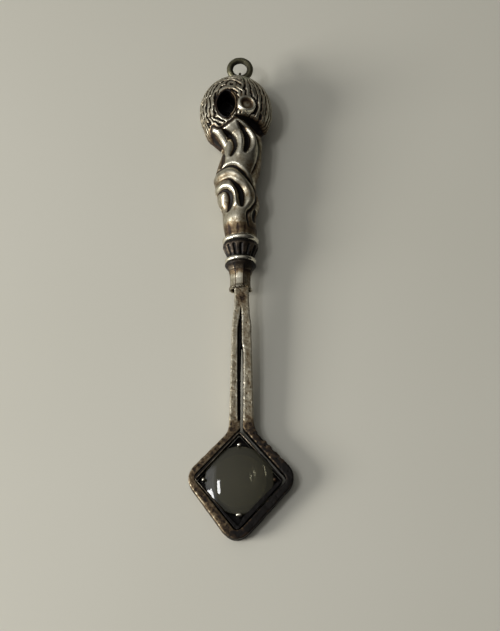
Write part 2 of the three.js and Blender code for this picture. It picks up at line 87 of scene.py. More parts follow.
def pick(piece):
    bpy.ops.object.select_all(action="DESELECT")
    piece.select_set(True)
    bpy.context.view_layer.objects.active = piece
    return piece


def fresh(name):
    """The primitive that was just added, under its own name and alone selected."""
    piece = bpy.context.view_layer.objects.active
    piece.name = name
    piece.data.name = name
    return pick(piece)


def finish_with(piece, kind, **settings):
    """Adds a modifier with its settings and applies it."""
    modifier = piece.modifiers.new(kind.title(), kind)
    for name, value in settings.items():
        setattr(modifier, name, value)
    pick(piece)
    bpy.ops.object.modifier_apply(modifier=modifier.name)
    return piece


def remesh(piece, voxel, rounds):
    """Turns a piece into one even skin and smooths it for so many rounds."""
    finish_with(piece, "REMESH", mode="VOXEL", voxel_size=voxel)
    return finish_with(piece, "SMOOTH", factor=0.5, iterations=rounds)


def bevel(piece, width, degrees):
    return finish_with(
        piece, "BEVEL", width=width, segments=2, limit_method="ANGLE", angle_limit=math.radians(degrees)
    )


def add_object(name, data):
    thing = bpy.data.objects.new(name, data)
    bpy.context.scene.collection.objects.link(thing)
    return thing


def join(pieces):
    pick(pieces[0])
    for piece in pieces[1:]:
        piece.select_set(True)
    bpy.ops.object.join()
    return pieces[0]


@contextmanager
def edit_mode(piece):
    """Edit mode on one piece, with all of it selected."""
    pick(piece)
    bpy.ops.object.mode_set(mode="EDIT")
    bpy.ops.mesh.select_all(action="SELECT")
    yield
    bpy.ops.object.mode_set(mode="OBJECT")


def mend_faces(piece, close=WELD):
    """Merges doubles, clears folded slivers and turns every face outwards."""
    with edit_mode(piece):
        bpy.ops.mesh.remove_doubles(threshold=close)
        bpy.ops.mesh.dissolve_degenerate(threshold=close)
        bpy.ops.mesh.normals_make_consistent(inside=False)
    return piece


def clear_folds(piece):
    """Cuts every face into triangles, and deletes those back to back on the same corners and loose flaps."""
    with edit_mode(piece):
        bpy.ops.mesh.select_mode(type="FACE")
        bpy.ops.mesh.quads_convert_to_tris(quad_method="BEAUTY", ngon_method="BEAUTY")
        bpy.ops.mesh.select_all(action="DESELECT")
    corners = [tuple(sorted(face.vertices)) for face in piece.data.polygons]
    uses = Counter(corners)
    piece.data.polygons.foreach_set("select", [uses[face] > 1 for face in corners])
    bpy.ops.object.mode_set(mode="EDIT")
    bpy.ops.mesh.delete(type="FACE")
    bpy.ops.mesh.select_mode(type="VERT")
    bpy.ops.mesh.select_non_manifold(use_multi_face=False, use_non_contiguous=False)
    bpy.ops.mesh.delete(type="FACE")
    bpy.ops.object.mode_set(mode="OBJECT")
    return piece


def apply_place(piece):
    pick(piece)
    bpy.ops.object.transform_apply(location=True, rotation=True, scale=True)
    return piece


def places_of(piece):
    places = np.empty(len(piece.data.vertices) * 3)
    piece.data.vertices.foreach_get("co", places)
    return places.reshape(-1, 3)


def normals_of(piece):
    normals = np.empty(len(piece.data.vertices) * 3)
    piece.data.vertex_normals.foreach_get("vector", normals)
    return normals.reshape(-1, 3)


def move_to(piece, places):
    piece.data.vertices.foreach_set("co", places.ravel())
    piece.data.update()


def curve_through(points, count):
    """Evenly numbered points on a smooth curve through the given ones."""
    points = np.array(points, float)
    before = 2 * points[0] - points[1]
    after = 2 * points[-1] - points[-2]
    guide = np.vstack([before, points, after])
    place = np.linspace(0, len(points) - 1, count)
    step = np.minimum(place.astype(int), len(points) - 2)
    t = (place - step)[:, None]
    a, b, c, d = (guide[step + k] for k in range(4))
    return (2 * b + (c - a) * t + (2 * a - 5 * b + 4 * c - d) * t**2 + (3 * b - a - 3 * c + d) * t**3) / 2


def drawn_bar(name, stations, sides):
    """A bar drawn out of a filled circle, ring by ring: each station is x, y, z, half width, half depth."""
    x, y, z, wide, deep = stations[0]
    bpy.ops.mesh.primitive_circle_add(vertices=sides, radius=1, fill_type="NGON", location=(0, 0, 0))
    bar = fresh(name)
    bar.rotation_euler.x = math.pi / 2
    bar.scale = (wide, deep, 1)
    bar.location = (x, y, z)
    apply_place(bar)
    with edit_mode(bar):
        for (x0, y0, z0, wide0, deep0), (x1, y1, z1, wide1, deep1) in zip(stations[:-1], stations[1:]):
            bpy.ops.mesh.extrude_region_move(TRANSFORM_OT_translate={"value": (x1 - x0, y1 - y0, z1 - z0)})
            bpy.ops.transform.resize(value=(wide1 / wide0, 1, deep1 / deep0), center_override=(x1, y1, z1))
    return mend_faces(bar)


def ramp(value, low, high):
    """A soft step from 0 at low to 1 at high."""
    t = np.clip((value - low) / (high - low), 0, 1)
    return t * t * (3 - 2 * t)


def fall(value, low, high):
    """A soft step from 1 at low to 0 at high."""
    return 1 - ramp(value, low, high)


def bell(value, half_width):
    """1 where the value is 0, falling off on both sides."""
    return np.exp(-((value / half_width) ** 2))


def spot(x, y, middle, half_widths):
    """A soft oval spot, 1 in its middle."""
    return np.exp(-(((x - middle[0]) / half_widths[0]) ** 2) - ((y - middle[1]) / half_widths[1]) ** 2)


# A noise's crossed waves: which way each runs, how much finer the next one is, how they bend and shift each
# other, and what brings their mean to about 1
NOISE_TURNS = ((1.0, 0.35, 0.2), (-0.3, 1.0, 0.45), (0.5, -0.25, 1.0), (0.8, 0.7, -0.6))
NOISE_FINER = 0.23
NOISE_BEND = 1.7
NOISE_SHIFT = 1.3
NOISE_GAIN = 1.6


def noise_field(places, size, seed):
    """A cheap smooth noise between about -1 and 1, made of crossed waves bent by each other."""
    value = np.zeros(len(places))
    bend = np.zeros(len(places))
    for number, turn in enumerate(NOISE_TURNS):
        wave = places @ np.array(turn) * (2 * math.pi / size) * (1 + NOISE_FINER * number)
        bend = np.sin(wave + NOISE_BEND * bend + seed * (number + NOISE_SHIFT))
        value += bend
    return value / len(NOISE_TURNS) * NOISE_GAIN


def patchy(places, size, seed):
    """The same noise between about 0 and 1."""
    return 0.5 + 0.5 * noise_field(places, size, seed)


def near(places, path):
    """Distance in the drawing from each place to a path, how far along it (0 to 1), and the side it is on."""
    best = np.full(len(places), np.inf)
    along = np.zeros(len(places))
    side = np.ones(len(places))
    flat = places[:, :2]
    for step in range(len(path) - 1):
        start, run = path[step], path[step + 1] - path[step]
        away = flat - start
        t = np.clip(away @ run / (run @ run), 0, 1)
        gap = np.hypot(*(away - t[:, None] * run).T)
        closer = gap < best
        best[closer] = gap[closer]
        along[closer] = (step + t[closer]) / (len(path) - 1)
        side[closer] = np.sign(run[0] * away[closer, 1] - run[1] * away[closer, 0])
    return best, along, side


def neighbour_mean(values, edges, count):
    """The mean of each vertex's neighbours."""
    total = np.empty_like(values)
    for axis in range(values.shape[1]):
        total[:, axis] = np.bincount(edges[:, 0], values[edges[:, 1], axis], count)
        total[:, axis] += np.bincount(edges[:, 1], values[edges[:, 0], axis], count)
    degree = np.bincount(edges.ravel(), minlength=count)
    return total / np.maximum(degree, 1)[:, None]


def relief_of(piece, rounds):
    """How far each vertex stands above the smoothed surface: ridges above zero and hollows below."""
    places = places_of(piece)
    edges = np.empty(len(piece.data.edges) * 2, int)
    piece.data.edges.foreach_get("vertices", edges)
    edges = edges.reshape(-1, 2)
    smooth = places
    for _ in range(rounds):
        smooth = (smooth + neighbour_mean(smooth, edges, len(places))) / 2
    return ((places - smooth) * normals_of(piece)).sum(1)


def store(piece, name, values):
    attribute = piece.data.attributes.get(name) or piece.data.attributes.new(name, "FLOAT", "POINT")
    attribute.data.foreach_set("value", np.broadcast_to(values, len(piece.data.vertices)).astype(np.float32))


def mark_tarnish_and_shade(piece, rounds, tarnish_and_shade):
    """Stores each place's relief against the surface after so many rounds of smoothing, and its tarnish with painted
    shade and highlight.
    """
    store(piece, "relief", relief_of(piece, rounds))
    store(piece, "tarnish_and_shade", tarnish_and_shade)


def wear_down(piece, size, seed, deep):
    """Wears a piece down in patches, and returns where its vertices were before."""
    places = places_of(piece)
    wear = patchy(places, size, seed)
    move_to(piece, places - normals_of(piece) * (deep * wear)[:, None])
    return places


def outline_of(name, places):
    """A filled outline: a circle of enough points, each pulled to its place on the drawing."""
    bpy.ops.mesh.primitive_circle_add(vertices=len(places), radius=1, fill_type="NGON")
    outline = fresh(name)
    move_to(outline, np.array(places, float))
    return outline


def slab_of(name, outline, back, front):
    """A slab pulled up from a closed outline drawn on the flat."""
    slab = outline_of(name, [(x, y, back) for x, y in outline])
    with edit_mode(slab):
        bpy.ops.mesh.extrude_region_move(TRANSFORM_OT_translate={"value": (0, 0, front - back)})
    return mend_faces(slab)


def turned(name, profile, step, sides):
    """A piece turned about the Y axis from a closed profile of (radius, place), cut into short steps."""
    points = []
    for (r0, y0), (r1, y1) in zip(profile, profile[1:] + profile[:1]):
        cuts = max(1, round(math.hypot(r1 - r0, y1 - y0) / step))
        points += [(r0 + (r1 - r0) * n / cuts, y0 + (y1 - y0) * n / cuts, 0) for n in range(cuts)]
    piece = outline_of(name, points)
    with edit_mode(piece):
        bpy.ops.mesh.delete(type="ONLY_FACE")
        bpy.ops.mesh.select_all(action="SELECT")
        bpy.ops.mesh.spin(steps=sides, angle=2 * math.pi, center=(0, 0, 0), axis=(0, 1, 0))
    return mend_faces(piece)


def turned_places(piece):
    """Each vertex of a turned piece: its place, radius, angle about the axis, and the way outwards."""
    places = places_of(piece)
    radius = np.hypot(places[:, 0], places[:, 2])
    angle = np.arctan2(places[:, 2], places[:, 0])
    out = np.stack([np.cos(angle), np.zeros_like(angle), np.sin(angle)], 1)
    return places, radius, angle, out


def wire_rod(name, points, radii):
    """A round wire along a smooth curve, with a radius for each of its points."""
    route = curve_through([tuple(point) + (radius,) for point, radius in zip(points, radii)], 40)
    curve = bpy.data.curves.new(name, "CURVE")
    curve.dimensions = "3D"
    curve.bevel_depth = 1
    curve.bevel_resolution = 5
    curve.use_fill_caps = True
    line = curve.splines.new("POLY")
    line.points.add(len(route) - 1)
    for place, (x, y, z, radius) in zip(line.points, route):
        place.co = (x, y, z, 1)
        place.radius = radius
    pick(add_object(name, curve))
    bpy.ops.object.convert(target="MESH")
    return mend_faces(bpy.context.view_layer.objects.active)


def boolean(piece, tool, operation="DIFFERENCE", solver="EXACT"):
    finish_with(piece, "BOOLEAN", object=tool, operation=operation, solver=solver)
    bpy.data.objects.remove(tool)
    return piece


def circle_points(x, y, radius, count):
    turns = np.linspace(0, 2 * math.pi, count + 1)[:-1]
    return [(x + radius * math.cos(turn), y + radius * math.sin(turn)) for turn in turns]


def rounded(corners, spacing):
    """A closed outline through corners of x, y and rounding, each turned by a curve."""
    points = []
    for number, (x, y, radius) in enumerate(corners):
        corner = np.array((x, y))
        to_before = np.array(corners[number - 1][:2]) - corner
        to_after = np.array(corners[(number + 1) % len(corners)][:2]) - corner
        before_length = np.linalg.norm(to_before)
        after_length = np.linalg.norm(to_after)
        half = math.acos(to_before @ to_after / before_length / after_length) / 2
        reach = min(radius / math.tan(half), before_length / 2, after_length / 2)
        start = corner + to_before / before_length * reach
        end = corner + to_after / after_length * reach
        count = max(2, int(2 * reach / spacing)) if reach > 0 else 1
        for t in np.linspace(0, 1, count):
            points.append((1 - t) ** 2 * start + 2 * t * (1 - t) * corner + t**2 * end)
    return np.array(points)


# Materials
def linear(code):
    """An sRGB hex colour as the linear RGBA that shaders take."""
    parts = [int(code[place : place + 2], 16) / 255 for place in (1, 3, 5)]
    return tuple(part / 12.92 if part <= 0.04045 else ((part + 0.055) / 1.055) ** 2.4 for part in parts) + (1.0,)


def set_inputs(tree, node, inputs):
    """Gives a node's inputs plain values or other nodes' outputs."""
    for name, value in inputs.items():
        if isinstance(value, bpy.types.NodeSocket):
            tree.links.new(value, node.inputs[name])
        else:
            node.inputs[name].default_value = value


def add_node(tree, kind, inputs=None, **options):
    """Adds a node with its options and inputs, and returns its first output."""
    node = tree.nodes.new(kind)
    stops = options.pop("stops", ())
    for name, value in options.items():
        setattr(node, name, value)
    for _ in stops[2:]:
        node.color_ramp.elements.new(0.5)
    for number, (place, code) in enumerate(stops):
        node.color_ramp.elements[number].position = place
        node.color_ramp.elements[number].color = linear(code)
    set_inputs(tree, node, inputs or {})
    return node.outputs[0]


def start_material(name):
    material = bpy.data.materials.new(name)
    material.use_nodes = True
    tree = material.node_tree
    place = add_node(tree, "ShaderNodeTexCoord")
    return material, tree, tree.nodes["Principled BSDF"], place.node.outputs["Object"]


def per_mm(size):
    """Noise scale that makes blotches about so many millimetres across."""
    return 1 / (size * MM)


RANGE = ("Value", "From Min", "From Max", "To Min", "To Max")


def old_metal(name, stops, level, roughness, metallic, blotch_mm, pit_mm, pit_deep_mm):
    """Tarnished metal. Its tarnish grows with the tarnish, painted shade and painted highlight stored on each place,
    with how low the surface lies, and with cloudy patches, and runs through the colour stops from rubbed metal to
    black."""
    material, tree, shader, place = start_material(name)
    tarnish_and_shade, relief, green = (
        add_node(tree, "ShaderNodeAttribute", attribute_name=mark).node.outputs["Fac"]
        for mark in ("tarnish_and_shade", "relief", "verdigris")
    )
    lowness = dict(zip(RANGE, (relief, 0.08, -0.08, level - 0.22, level + 0.3)))
    hollow = add_node(tree, "ShaderNodeMapRange", lowness)
    blotches = {"Vector": place, "Scale": per_mm(blotch_mm), "Detail": 5.0, "Roughness": 0.6}
    patches = add_node(tree, "ShaderNodeTexNoise", blotches)
    cloud = add_node(tree, "ShaderNodeMapRange", dict(zip(RANGE, (patches, 0.3, 0.7, -0.16, 0.16))))
    pits = {"Vector": place, "Scale": per_mm(pit_mm), "Detail": 6.0, "Roughness": 0.65}
    specks = add_node(tree, "ShaderNodeTexNoise", pits)
    speckle = add_node(tree, "ShaderNodeMapRange", dict(zip(RANGE, (specks, 0.3, 0.7, 0.1, -0.1))))
    tarnish = hollow
    for layer, last in ((tarnish_and_shade, False), (cloud, False), (speckle, True)):
        tarnish = add_node(tree, "ShaderNodeMath", {0: tarnish, 1: layer}, operation="ADD", use_clamp=last)
    metal_colour = add_node(tree, "ShaderNodeValToRGB", {"Fac": tarnish}, stops=stops)
    colour = add_node(tree, "ShaderNodeMixRGB", {"Fac": green, "Color1": metal_colour, "Color2": linear("#5E7350")})
    gloss = add_node(tree, "ShaderNodeMapRange", dict(zip(RANGE, (tarnish, 0.0, 0.8, *roughness))))
    metal = add_node(tree, "ShaderNodeMapRange", dict(zip(RANGE, (tarnish, 0.35, 0.85, *metallic))))
    bump = add_node(tree, "ShaderNodeBump", {"Height": specks, "Strength": 1.0, "Distance": pit_deep_mm * MM})
    look = {"Base Color": colour, "Roughness": gloss, "Metallic": metal, "Normal": bump, "Specular IOR Level": 0.3}
    set_inputs(tree, shader, look)
    return material


def crusted(name, dark, pale, metallic, lump_mm, detail, lump_deep_mm):
    """A half matt, lumpy skin between two colours."""
    material, tree, shader, place = start_material(name)
    lumps = add_node(tree, "ShaderNodeTexNoise", {"Vector": place, "Scale": per_mm(lump_mm), "Detail": detail})
    colour = add_node(tree, "ShaderNodeValToRGB", {"Fac": lumps}, stops=[(0.35, dark), (0.7, pale)])
    bump = add_node(tree, "ShaderNodeBump", {"Height": lumps, "Strength": 1.0, "Distance": lump_deep_mm * MM})
    set_inputs(tree, shader, {"Base Color": colour, "Normal": bump, "Metallic": metallic, "Roughness": 0.55})
    return material


def shade_tinted_glass():
    """Thick old glass, polished, with faint wipe marks; its grey-olive tint and part matt body are painted shade,
    darkening the view through it.
    """
    material, tree, shader, place = start_material("grey_olive_glass")
    wipes = add_node(tree, "ShaderNodeTexNoise", {"Vector": place, "Scale": per_mm(3.0), "Detail": 3.0})
    smear = add_node(tree, "ShaderNodeMapRange", dict(zip(RANGE, (wipes, 0.4, 0.7, 0.02, 0.06))))
    look = {"Base Color": linear("#73705C"), "Roughness": smear, "Transmission Weight": 0.82, "IOR": 1.52}
    set_inputs(tree, shader, look)
    return material


def matt_table():
    """A pale warm-grey matt table top."""
    material, tree, shader, place = start_material("pale_matt_table")
    cloud = add_node(tree, "ShaderNodeTexNoise", {"Vector": place, "Scale": per_mm(90.0), "Detail": 2.0})
    colour = add_node(tree, "ShaderNodeValToRGB", {"Fac": cloud}, stops=[(0.3, "#C9C7BB"), (0.7, "#CDCBC0")])
    set_inputs(tree, shader, {"Base Color": colour, "Roughness": 0.6})
    return material


SILVER_STOPS = [(0.0, "#E2DDCD"), (0.3, "#B4AE9C"), (0.5, "#72624A"), (0.7, "#35251A"), (0.9, "#090504")]
DARK_STOPS = [(0.0, "#DAD6C8"), (0.3, "#A39D8D"), (0.5, "#6C6152"), (0.7, "#2B231C"), (0.9, "#080504")]
STRAP_STOPS = [(0.0, "#D6D0C1"), (0.25, "#A8A08B"), (0.5, "#6C5C46"), (0.72, "#31251A"), (0.92, "#0A0604")]
RING_STOPS = [(0.0, "#A29F8C"), (0.3, "#6A6752"), (0.6, "#3E3B2B"), (1.0, "#14120B")]

# Each slot's material
SKINS = {
    # Stamped silver, handled for a century: pale warm crests, brown-black sulphide in the carving
    "aged_silver": old_metal("aged_stamped_silver", SILVER_STOPS, 0.15, (0.26, 0.5), (1.0, 0.35), 3.0, 0.5, 0.012),
    # The same silver turned on a lathe and seldom rubbed: brown-grey film all over, bright only on edges
    "dark_silver": old_metal("tarnished_turned_silver", DARK_STOPS, 0.62, (0.26, 0.5), (1.0, 0.45), 1.6, 0.4, 0.014),
    # Hand-forged base-metal strip: olive-brown, pitted, with rubbed arrises
    "tarnished_strap": old_metal("pitted_forged_strap", STRAP_STOPS, 0.38, (0.3, 0.6), (0.95, 0.4), 0.9, 0.32, 0.03),
    # Drawn wire gone dull olive, with a dry corroded skin
    "tarnished_ring": old_metal("corroded_olive_wire", RING_STOPS, 0.48, (0.36, 0.6), (0.9, 0.5), 1.1, 0.35, 0.02),
    # Old hard pitch: nearly black brown, with a crusted face
    "pitch": crusted("hard_brown_pitch", "#2A1A10", "#6B4C38", 0.0, 0.4, 5.0, 0.05),
    # Bare forged iron, hidden inside the handle, with a grey-brown skin of scale
    "iron": crusted("forged_iron_scale", "#3A3532", "#5C544C", 0.8, 0.8, 4.0, 0.04),
    "lens_glass": shade_tinted_glass(),
}


def dress(piece, slot):
    piece.data.materials.clear()
    piece.data.materials.append(SKINS[slot])


def layered(shades):
    """How dark a place is under several shades."""
    return 1 - np.prod([1 - np.clip(shade, 0, 1) for shade in shades], 0)


def settle(piece, node, slot, body="glass_body"):
    """Lays a finished piece down in the frame, in metres, on its body and in its node's place."""
    piece.data.transform(LAID)
    move_to(piece, np.clip(places_of(piece), cad_low, cad_high))
    dress(piece, slot)
    pick(piece)
    bpy.ops.object.shade_smooth()
    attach(piece, body)
    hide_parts(node)
    return piece


# Handle body: left edge, right edge and depth of its sections, evenly spaced, as shares of its half width
COLLAR_GAP = 0.1
BODY_FOOT = flat_box("upper_collar_ring")[1][1] + COLLAR_GAP
BODY_LENGTH = 24.5
BODY_HALF = 4.3
BODY_SECTION_SHARES = [
    (-0.72, 0.765, 0.72), (-0.79, 0.77, 0.745), (-0.85, 0.745, 0.77), (-0.865, 0.8, 0.815),
    (-0.95, 0.92, 0.885), (-1.1, 0.86, 0.93), (-1.2, 0.75, 0.955), (-1.245, 0.755, 0.955),
    (-1.21, 0.885, 0.955), (-1.12, 0.975, 0.955), (-1.01, 1.02, 0.955), (-0.91, 1.03, 0.955),
    (-0.885, 1.06, 0.955), (-0.815, 0.975, 0.93), (-0.675, 0.77, 0.79),
]
WALL_SHARE = 0.62
HANDLE_VOXEL = 0.1
SEAM_GAP = 0.1
CORE_FOOT = 0.5

# Scroll head: an oval with a pointed eyelet through it, a curled boss beside it, and a lock down its left side
HEAD_HALF = (7.68, 8.5, 5.2)
HEAD_PLACE = (-1.03, 79.29, 0)
LOCK_SHARES = [(-0.52, -0.33, 0.4), (-0.45, -0.67, 0.36), (-0.3, -0.95, 0.28), (-0.1, -1.22, 0.17)]
EYELET_HALF = (2.05, 3.15)
EYELET_PLACE = (-2.95, 79.2)
EYELET_CURVE_SHARES = [
    (0.16, -1), (0.72, -0.55), (0.9, -0.1), (0.78, 0.45), (0.16, 0.93), (-0.42, 0.82), (-0.86, 0.4),
    (-1, -0.05), (-0.82, -0.48), (-0.36, -0.83),
]
EYELET_LEDGE = -0.6
# The eyelet at the back: its size as a share of the front's, and its shift
EYELET_BACK = (0.5, (0.15, -1.3))
BOSS_PLACE = (1.35, 79.05)
SWIRL_PLACE = (-1.93, 83.92)
CHANNEL_HALF = (0.86, 1.3)

# Heights over which parts of the handle begin or end, from the foot up
BULB_FOOT = (51, 53)
NECK_END = (52.0, 53.6)
BULB_END = (64, 68)
HEAD_FOOT = (65.5, 67.5)
TWIST_FOOT = (66, 68)
LOCK_END = (71.5, 74.5)
TWIST_END = (73, 75)
WEDGE_END = (74.4, 76.6)
HEAD_WAIST = (76, 80)
SWIRL_FOOT = (83.3, 84.3)

# The handle's small cut forms: how deep each goes, and how dark it is there
STRAND_DEEP, STRAND_DARK = 0.45, 0.88
LIP_DEEP, LIP_DARK = 0.26, 0.5
RIM_DEEP, RIM_DARK = 0.5, 0.4
RIM_SHADE_HALF = 2.9
RIPPLE_DEEP, RIPPLE_DARK = 0.3, 0.85
# The strands: width of the rings, and first place and step of the meridians in degrees
STRAND_RING_STEP = 1.3
MERIDIAN_START = 7.5
MERIDIAN_STEP = 9.6
# The boss: how deep its pit is, and how high, where and how wide its curl rises
PIT_DEEP = 0.3
CURL_LEAST = 0.08
CURL_SWELL = 0.58
CURL_RADIUS = 1.6
CURL_HALF = 0.36
RIPPLE_RADIUS = 1.15
RIPPLE_HALF = 0.18
# Verdigris on the crown and in a crease: strength, middle and half widths
VERDIGRIS_SPOTS = [(0.6, (1.0, 86.4), (1.1, 0.8)), (0.3, (4.0, 69.8), (0.6, 1.6))]

# Grooves of the twist: half width of the floor, width of the banks, depth, where it is widest, lean of
# the banks to the side on its left, darkness, and the points it runs through
TWIST_GROOVES = [
    (0.5, 1.15, 1.25, 0.6, 0.0, 1.0, [(-0.87, 75.5), (1.1, 72.9), (1.65, 70.9), (0.8, 68.2)]),
    (0.32, 0.95, 0.95, 0.6, 0.0, 0.7, [(-4.2, 74.1), (-2.2, 72.3), (-1.4, 70.1), (-2.1, 67.4)]),
    (0.5, 0.8, 0.5, 0.45, 0.0, 0.25, [(-6.2, 73.3), (-5.1, 71.3), (-4.2, 69.6), (-3.7, 68.2)]),
    (0.3, 0.9, 0.5, 0.5, 0.0, 0.45, [(-4.1, 69.6), (-3.75, 67.6), (-4.3, 65.0)]),
    (0.46, 1.2, 1.3, 0.8, 0.0, 0.92, [(-5.9, 61.9), (-2.62, 62.35), (-1.14, 61.3), (0.15, 59.6), (0.35, 56.2)]),
    (0.36, 1.1, 1.05, 0.7, 0.0, 0.75, [(-5.6, 59.7), (-3.3, 60), (-2.35, 58.5), (-2.75, 55.4)]),
    (0.1, 1.05, 0.8, 0.5, -0.25, 0.75,
     [(-5.4, 64.6), (-3.21, 65.35), (-1.44, 65.3), (0.09, 64.3), (1.32, 63.14), (2.88, 61.34), (3.3, 59.4)]),
    (0.12, 0.8, 0.5, 0.5, 0.2, 0.5,
     [(3.0, 60.5), (3.2, 58.12), (2.42, 56.26), (1.57, 55.33), (1.39, 54.13), (1.75, 52.0)]),
    (0.1, 0.9, 0.45, 0.45, 0.4, 0.35, [(-0.35, 76.0), (2.8, 73.4), (3.95, 70.18), (3.35, 66.53), (2.1, 63.6)]),
    # The wide groove under the head's lower right edge is painted dark as shadow as well as tarnish
    (0.65, 1.1, 1.8, 0.62, 0.0, 0.95, [(-1.6, 76.4), (1.31, 75.8), (3.3, 74.8), (5.2, 73.2)]),
    (0.25, 0.7, 0.6, 0.5, 0.0, 0.8, [(3.1, 56.4), (3.0, 55.0), (2.7, 53.4)]),
    (0.15, 0.9, 0.15, 0.6, 0.0, 0.15, [(-2.6, 53.4), (-2.3, 51.6), (-2.4, 49.8)]),
    (0.1, 0.7, 0.07, 0.6, 0.0, 0.1, [(-0.6, 53.2), (-0.5, 51.6), (-0.5, 49.8)]),
    (0.1, 0.7, 0.07, 0.6, 0.0, 0.1, [(1.0, 53.2), (1.0, 51.6), (0.9, 49.8)]),
]
BOSS_GROOVE = (0.18, 0.5, 0.55, 0.4, 0.0, 0.95, [(2.0, 81.1), (3.1, 80.2), (3.45, 78.7), (2.9, 77.2), (1.7, 76.5)])

# Swollen ridges between the grooves: height, half width, and the points each runs through
TWIST_RIDGES = [
    (0.28, 0.75, [(-5.2, 63.3), (-3.2, 63.9), (-1.2, 63.7), (0.8, 62.3), (2.0, 60.3), (2.3, 57.8)]),
    (0.22, 0.55, [(-5.0, 60.9), (-2.7, 61.1), (-1.2, 59.6), (-0.9, 57.0)]),
    (0.15, 0.6, [(-2.4, 74.3), (-0.2, 72.5), (0.35, 70.4), (-0.3, 68.2)]),
    (0.22, 0.55, [(-5.3, 73.6), (-3.4, 71.8), (-2.75, 69.8), (-2.9, 67.5)]),
    (0.08, 0.6, [(0.8, 75.4), (2.5, 73.2), (3.0, 70.8), (2.3, 67.4)]),
    (0.3, 0.8, [(-4.6, 58.5), (-4.2, 57.6)]),
    (0.2, 1.3, [(-1.5, 54.4), (-0.3, 54.3)]),
    (0.12, 0.3, [(4.0, 71.6), (3.9, 69.4), (3.3, 66.6)]),
]

# Lower edge of the head's strands, left to right, with the lock's strands running down the left side
HEAD_EDGE = [
    (-4.5, 66.0), (-4.3, 69.6), (-5.3, 71.3), (-6.3, 73.3), (-5.9, 74.5), (-4.5, 74.0), (-3.2, 74.6),
    (-1.9, 75.4), (-1.0, 75.9), (1.3, 75.6), (3.2, 74.6), (5.2, 72.6), (7.4, 71.0),
]


def eyelet_outline(count, share=1.0, shift=(0.0, 0.0)):
    """Points round the eyelet's pointed oval."""
    x0 = EYELET_PLACE[0] + shift[0]
    y0 = EYELET_PLACE[1] + shift[1]
    corners = [(x0 + x * EYELET_HALF[0] * share, y0 + y * EYELET_HALF[1] * share) for x, y in EYELET_CURVE_SHARES]
    return curve_through(corners + corners[:1], count)


def eyelet_reach(x, y, share=1.0, shift=(0.0, 0.0)):
    """How far out a place lies from the eyelet's middle: 1 on its rim."""
    across = (x - EYELET_PLACE[0] - shift[0]) / (EYELET_HALF[0] * share)
    return np.hypot(across, (y - EYELET_PLACE[1] - shift[1]) / (EYELET_HALF[1] * share))


def body_stations(share, count):
    rows = curve_through(BODY_SECTION_SHARES, count)
    stations = []
    for number, (left, right, deep) in enumerate(rows):
        height = BODY_FOOT + BODY_LENGTH * number / (count - 1)
        middle = BODY_HALF * (left + right) / 2
        wide = BODY_HALF * (right - left) / 2 * share
        stations.append((middle, height, 0, wide, BODY_HALF * deep * share))
    return stations


def handle_blank():
    """The body, head and lock remeshed as one skin, with the eyelet and the crown's channel cut."""
    body = drawn_bar("handle_body", body_stations(1, 43), 64)
    bpy.ops.mesh.primitive_uv_sphere_add(segments=96, ring_count=64, radius=1, location=HEAD_PLACE, scale=HEAD_HALF)
    head = apply_place(fresh("handle_head"))
    through = 2 * HEAD_HALF[2]
    narrow = eyelet_outline(64, *EYELET_BACK)[:-1]
    boolean(head, slab_of("eyelet_front_cutter", eyelet_outline(64)[:-1], EYELET_LEDGE, through))
    boolean(head, slab_of("eyelet_back_cutter", narrow, -through, 0))
    bpy.ops.mesh.primitive_cylinder_add(
        vertices=48, radius=1, depth=4 * HEAD_HALF[0], location=(RING_SHIFT, HINGE_RISE, 0),
        rotation=(0, math.pi / 2, 0), scale=(CHANNEL_HALF[1], CHANNEL_HALF[0], 1),
    )
    boolean(head, apply_place(fresh("crown_channel")))
    lock_stations = []
    for across, up, thick in curve_through(LOCK_SHARES, 14):
        radius = thick * HEAD_HALF[0]
        x = HEAD_PLACE[0] + across * HEAD_HALF[0]
        y = HEAD_PLACE[1] + up * HEAD_HALF[1]
        lock_stations.append((x, y, 0, radius, radius * 1.35))
    lock = drawn_bar("handle_lock", lock_stations[::-1], 48)
    blank = join([body, head, lock])
    return remesh(blank, HANDLE_VOXEL, 6)


def groove(places, floor, bank, depth, belly, lean, dark, points):
    """How far a groove lowers each place, and how dark it is there."""
    gap, along, side = near(places, curve_through(points, 10 * len(points)))
    swell = np.sin(np.pi * along ** (math.log(0.5) / math.log(belly))) ** 0.6
    reach = floor * swell
    width = bank * (0.3 + 0.7 * swell) * (1 + lean * side)
    u = np.clip((gap - reach) / width, 0, 1)
    shade = dark * np.clip(2 * swell, 0, 1) * fall(gap, reach * 0.8, reach + 0.35 * width)
    return depth * swell * (1 - u) ** 2, shade


def strands(places):
    """The head's strands, 0 on their crests and 1 in between: rings round the eyelet on the left,
    meridians on the right."""
    x, y = places[:, 0], places[:, 1]
    warp = 0.4 * noise_field(places, 7.5, 1.0) + 0.14 * noise_field(places, 3.2, 4.0)
    round_side = HEAD_HALF[2] * 0.88 - np.abs(places[:, 2])
    rings = (eyelet_reach(x, y) - 1) * EYELET_HALF[0] / STRAND_RING_STEP + round_side / STRAND_RING_STEP + warp
    along = np.clip((y - HEAD_PLACE[1]) / HEAD_HALF[1], -0.98, 0.98)
    across = (x - HEAD_PLACE[0]) / HEAD_HALF[0] / np.sqrt(1 - along**2)
    longitude = np.degrees(np.arcsin(np.clip(across, -1, 1)))
    meridians = (longitude - MERIDIAN_START) / MERIDIAN_STEP + 0.6 * warp
    right = ramp(x + 0.4 * warp, -0.1, 0.5)
    left_gap = fall(np.abs(np.sin(np.pi * rings)), 0.06, 0.85)
    right_gap = fall(np.abs(np.sin(np.pi * meridians)), 0.06, 0.88)
    return left_gap * (1 - right) + right_gap * right


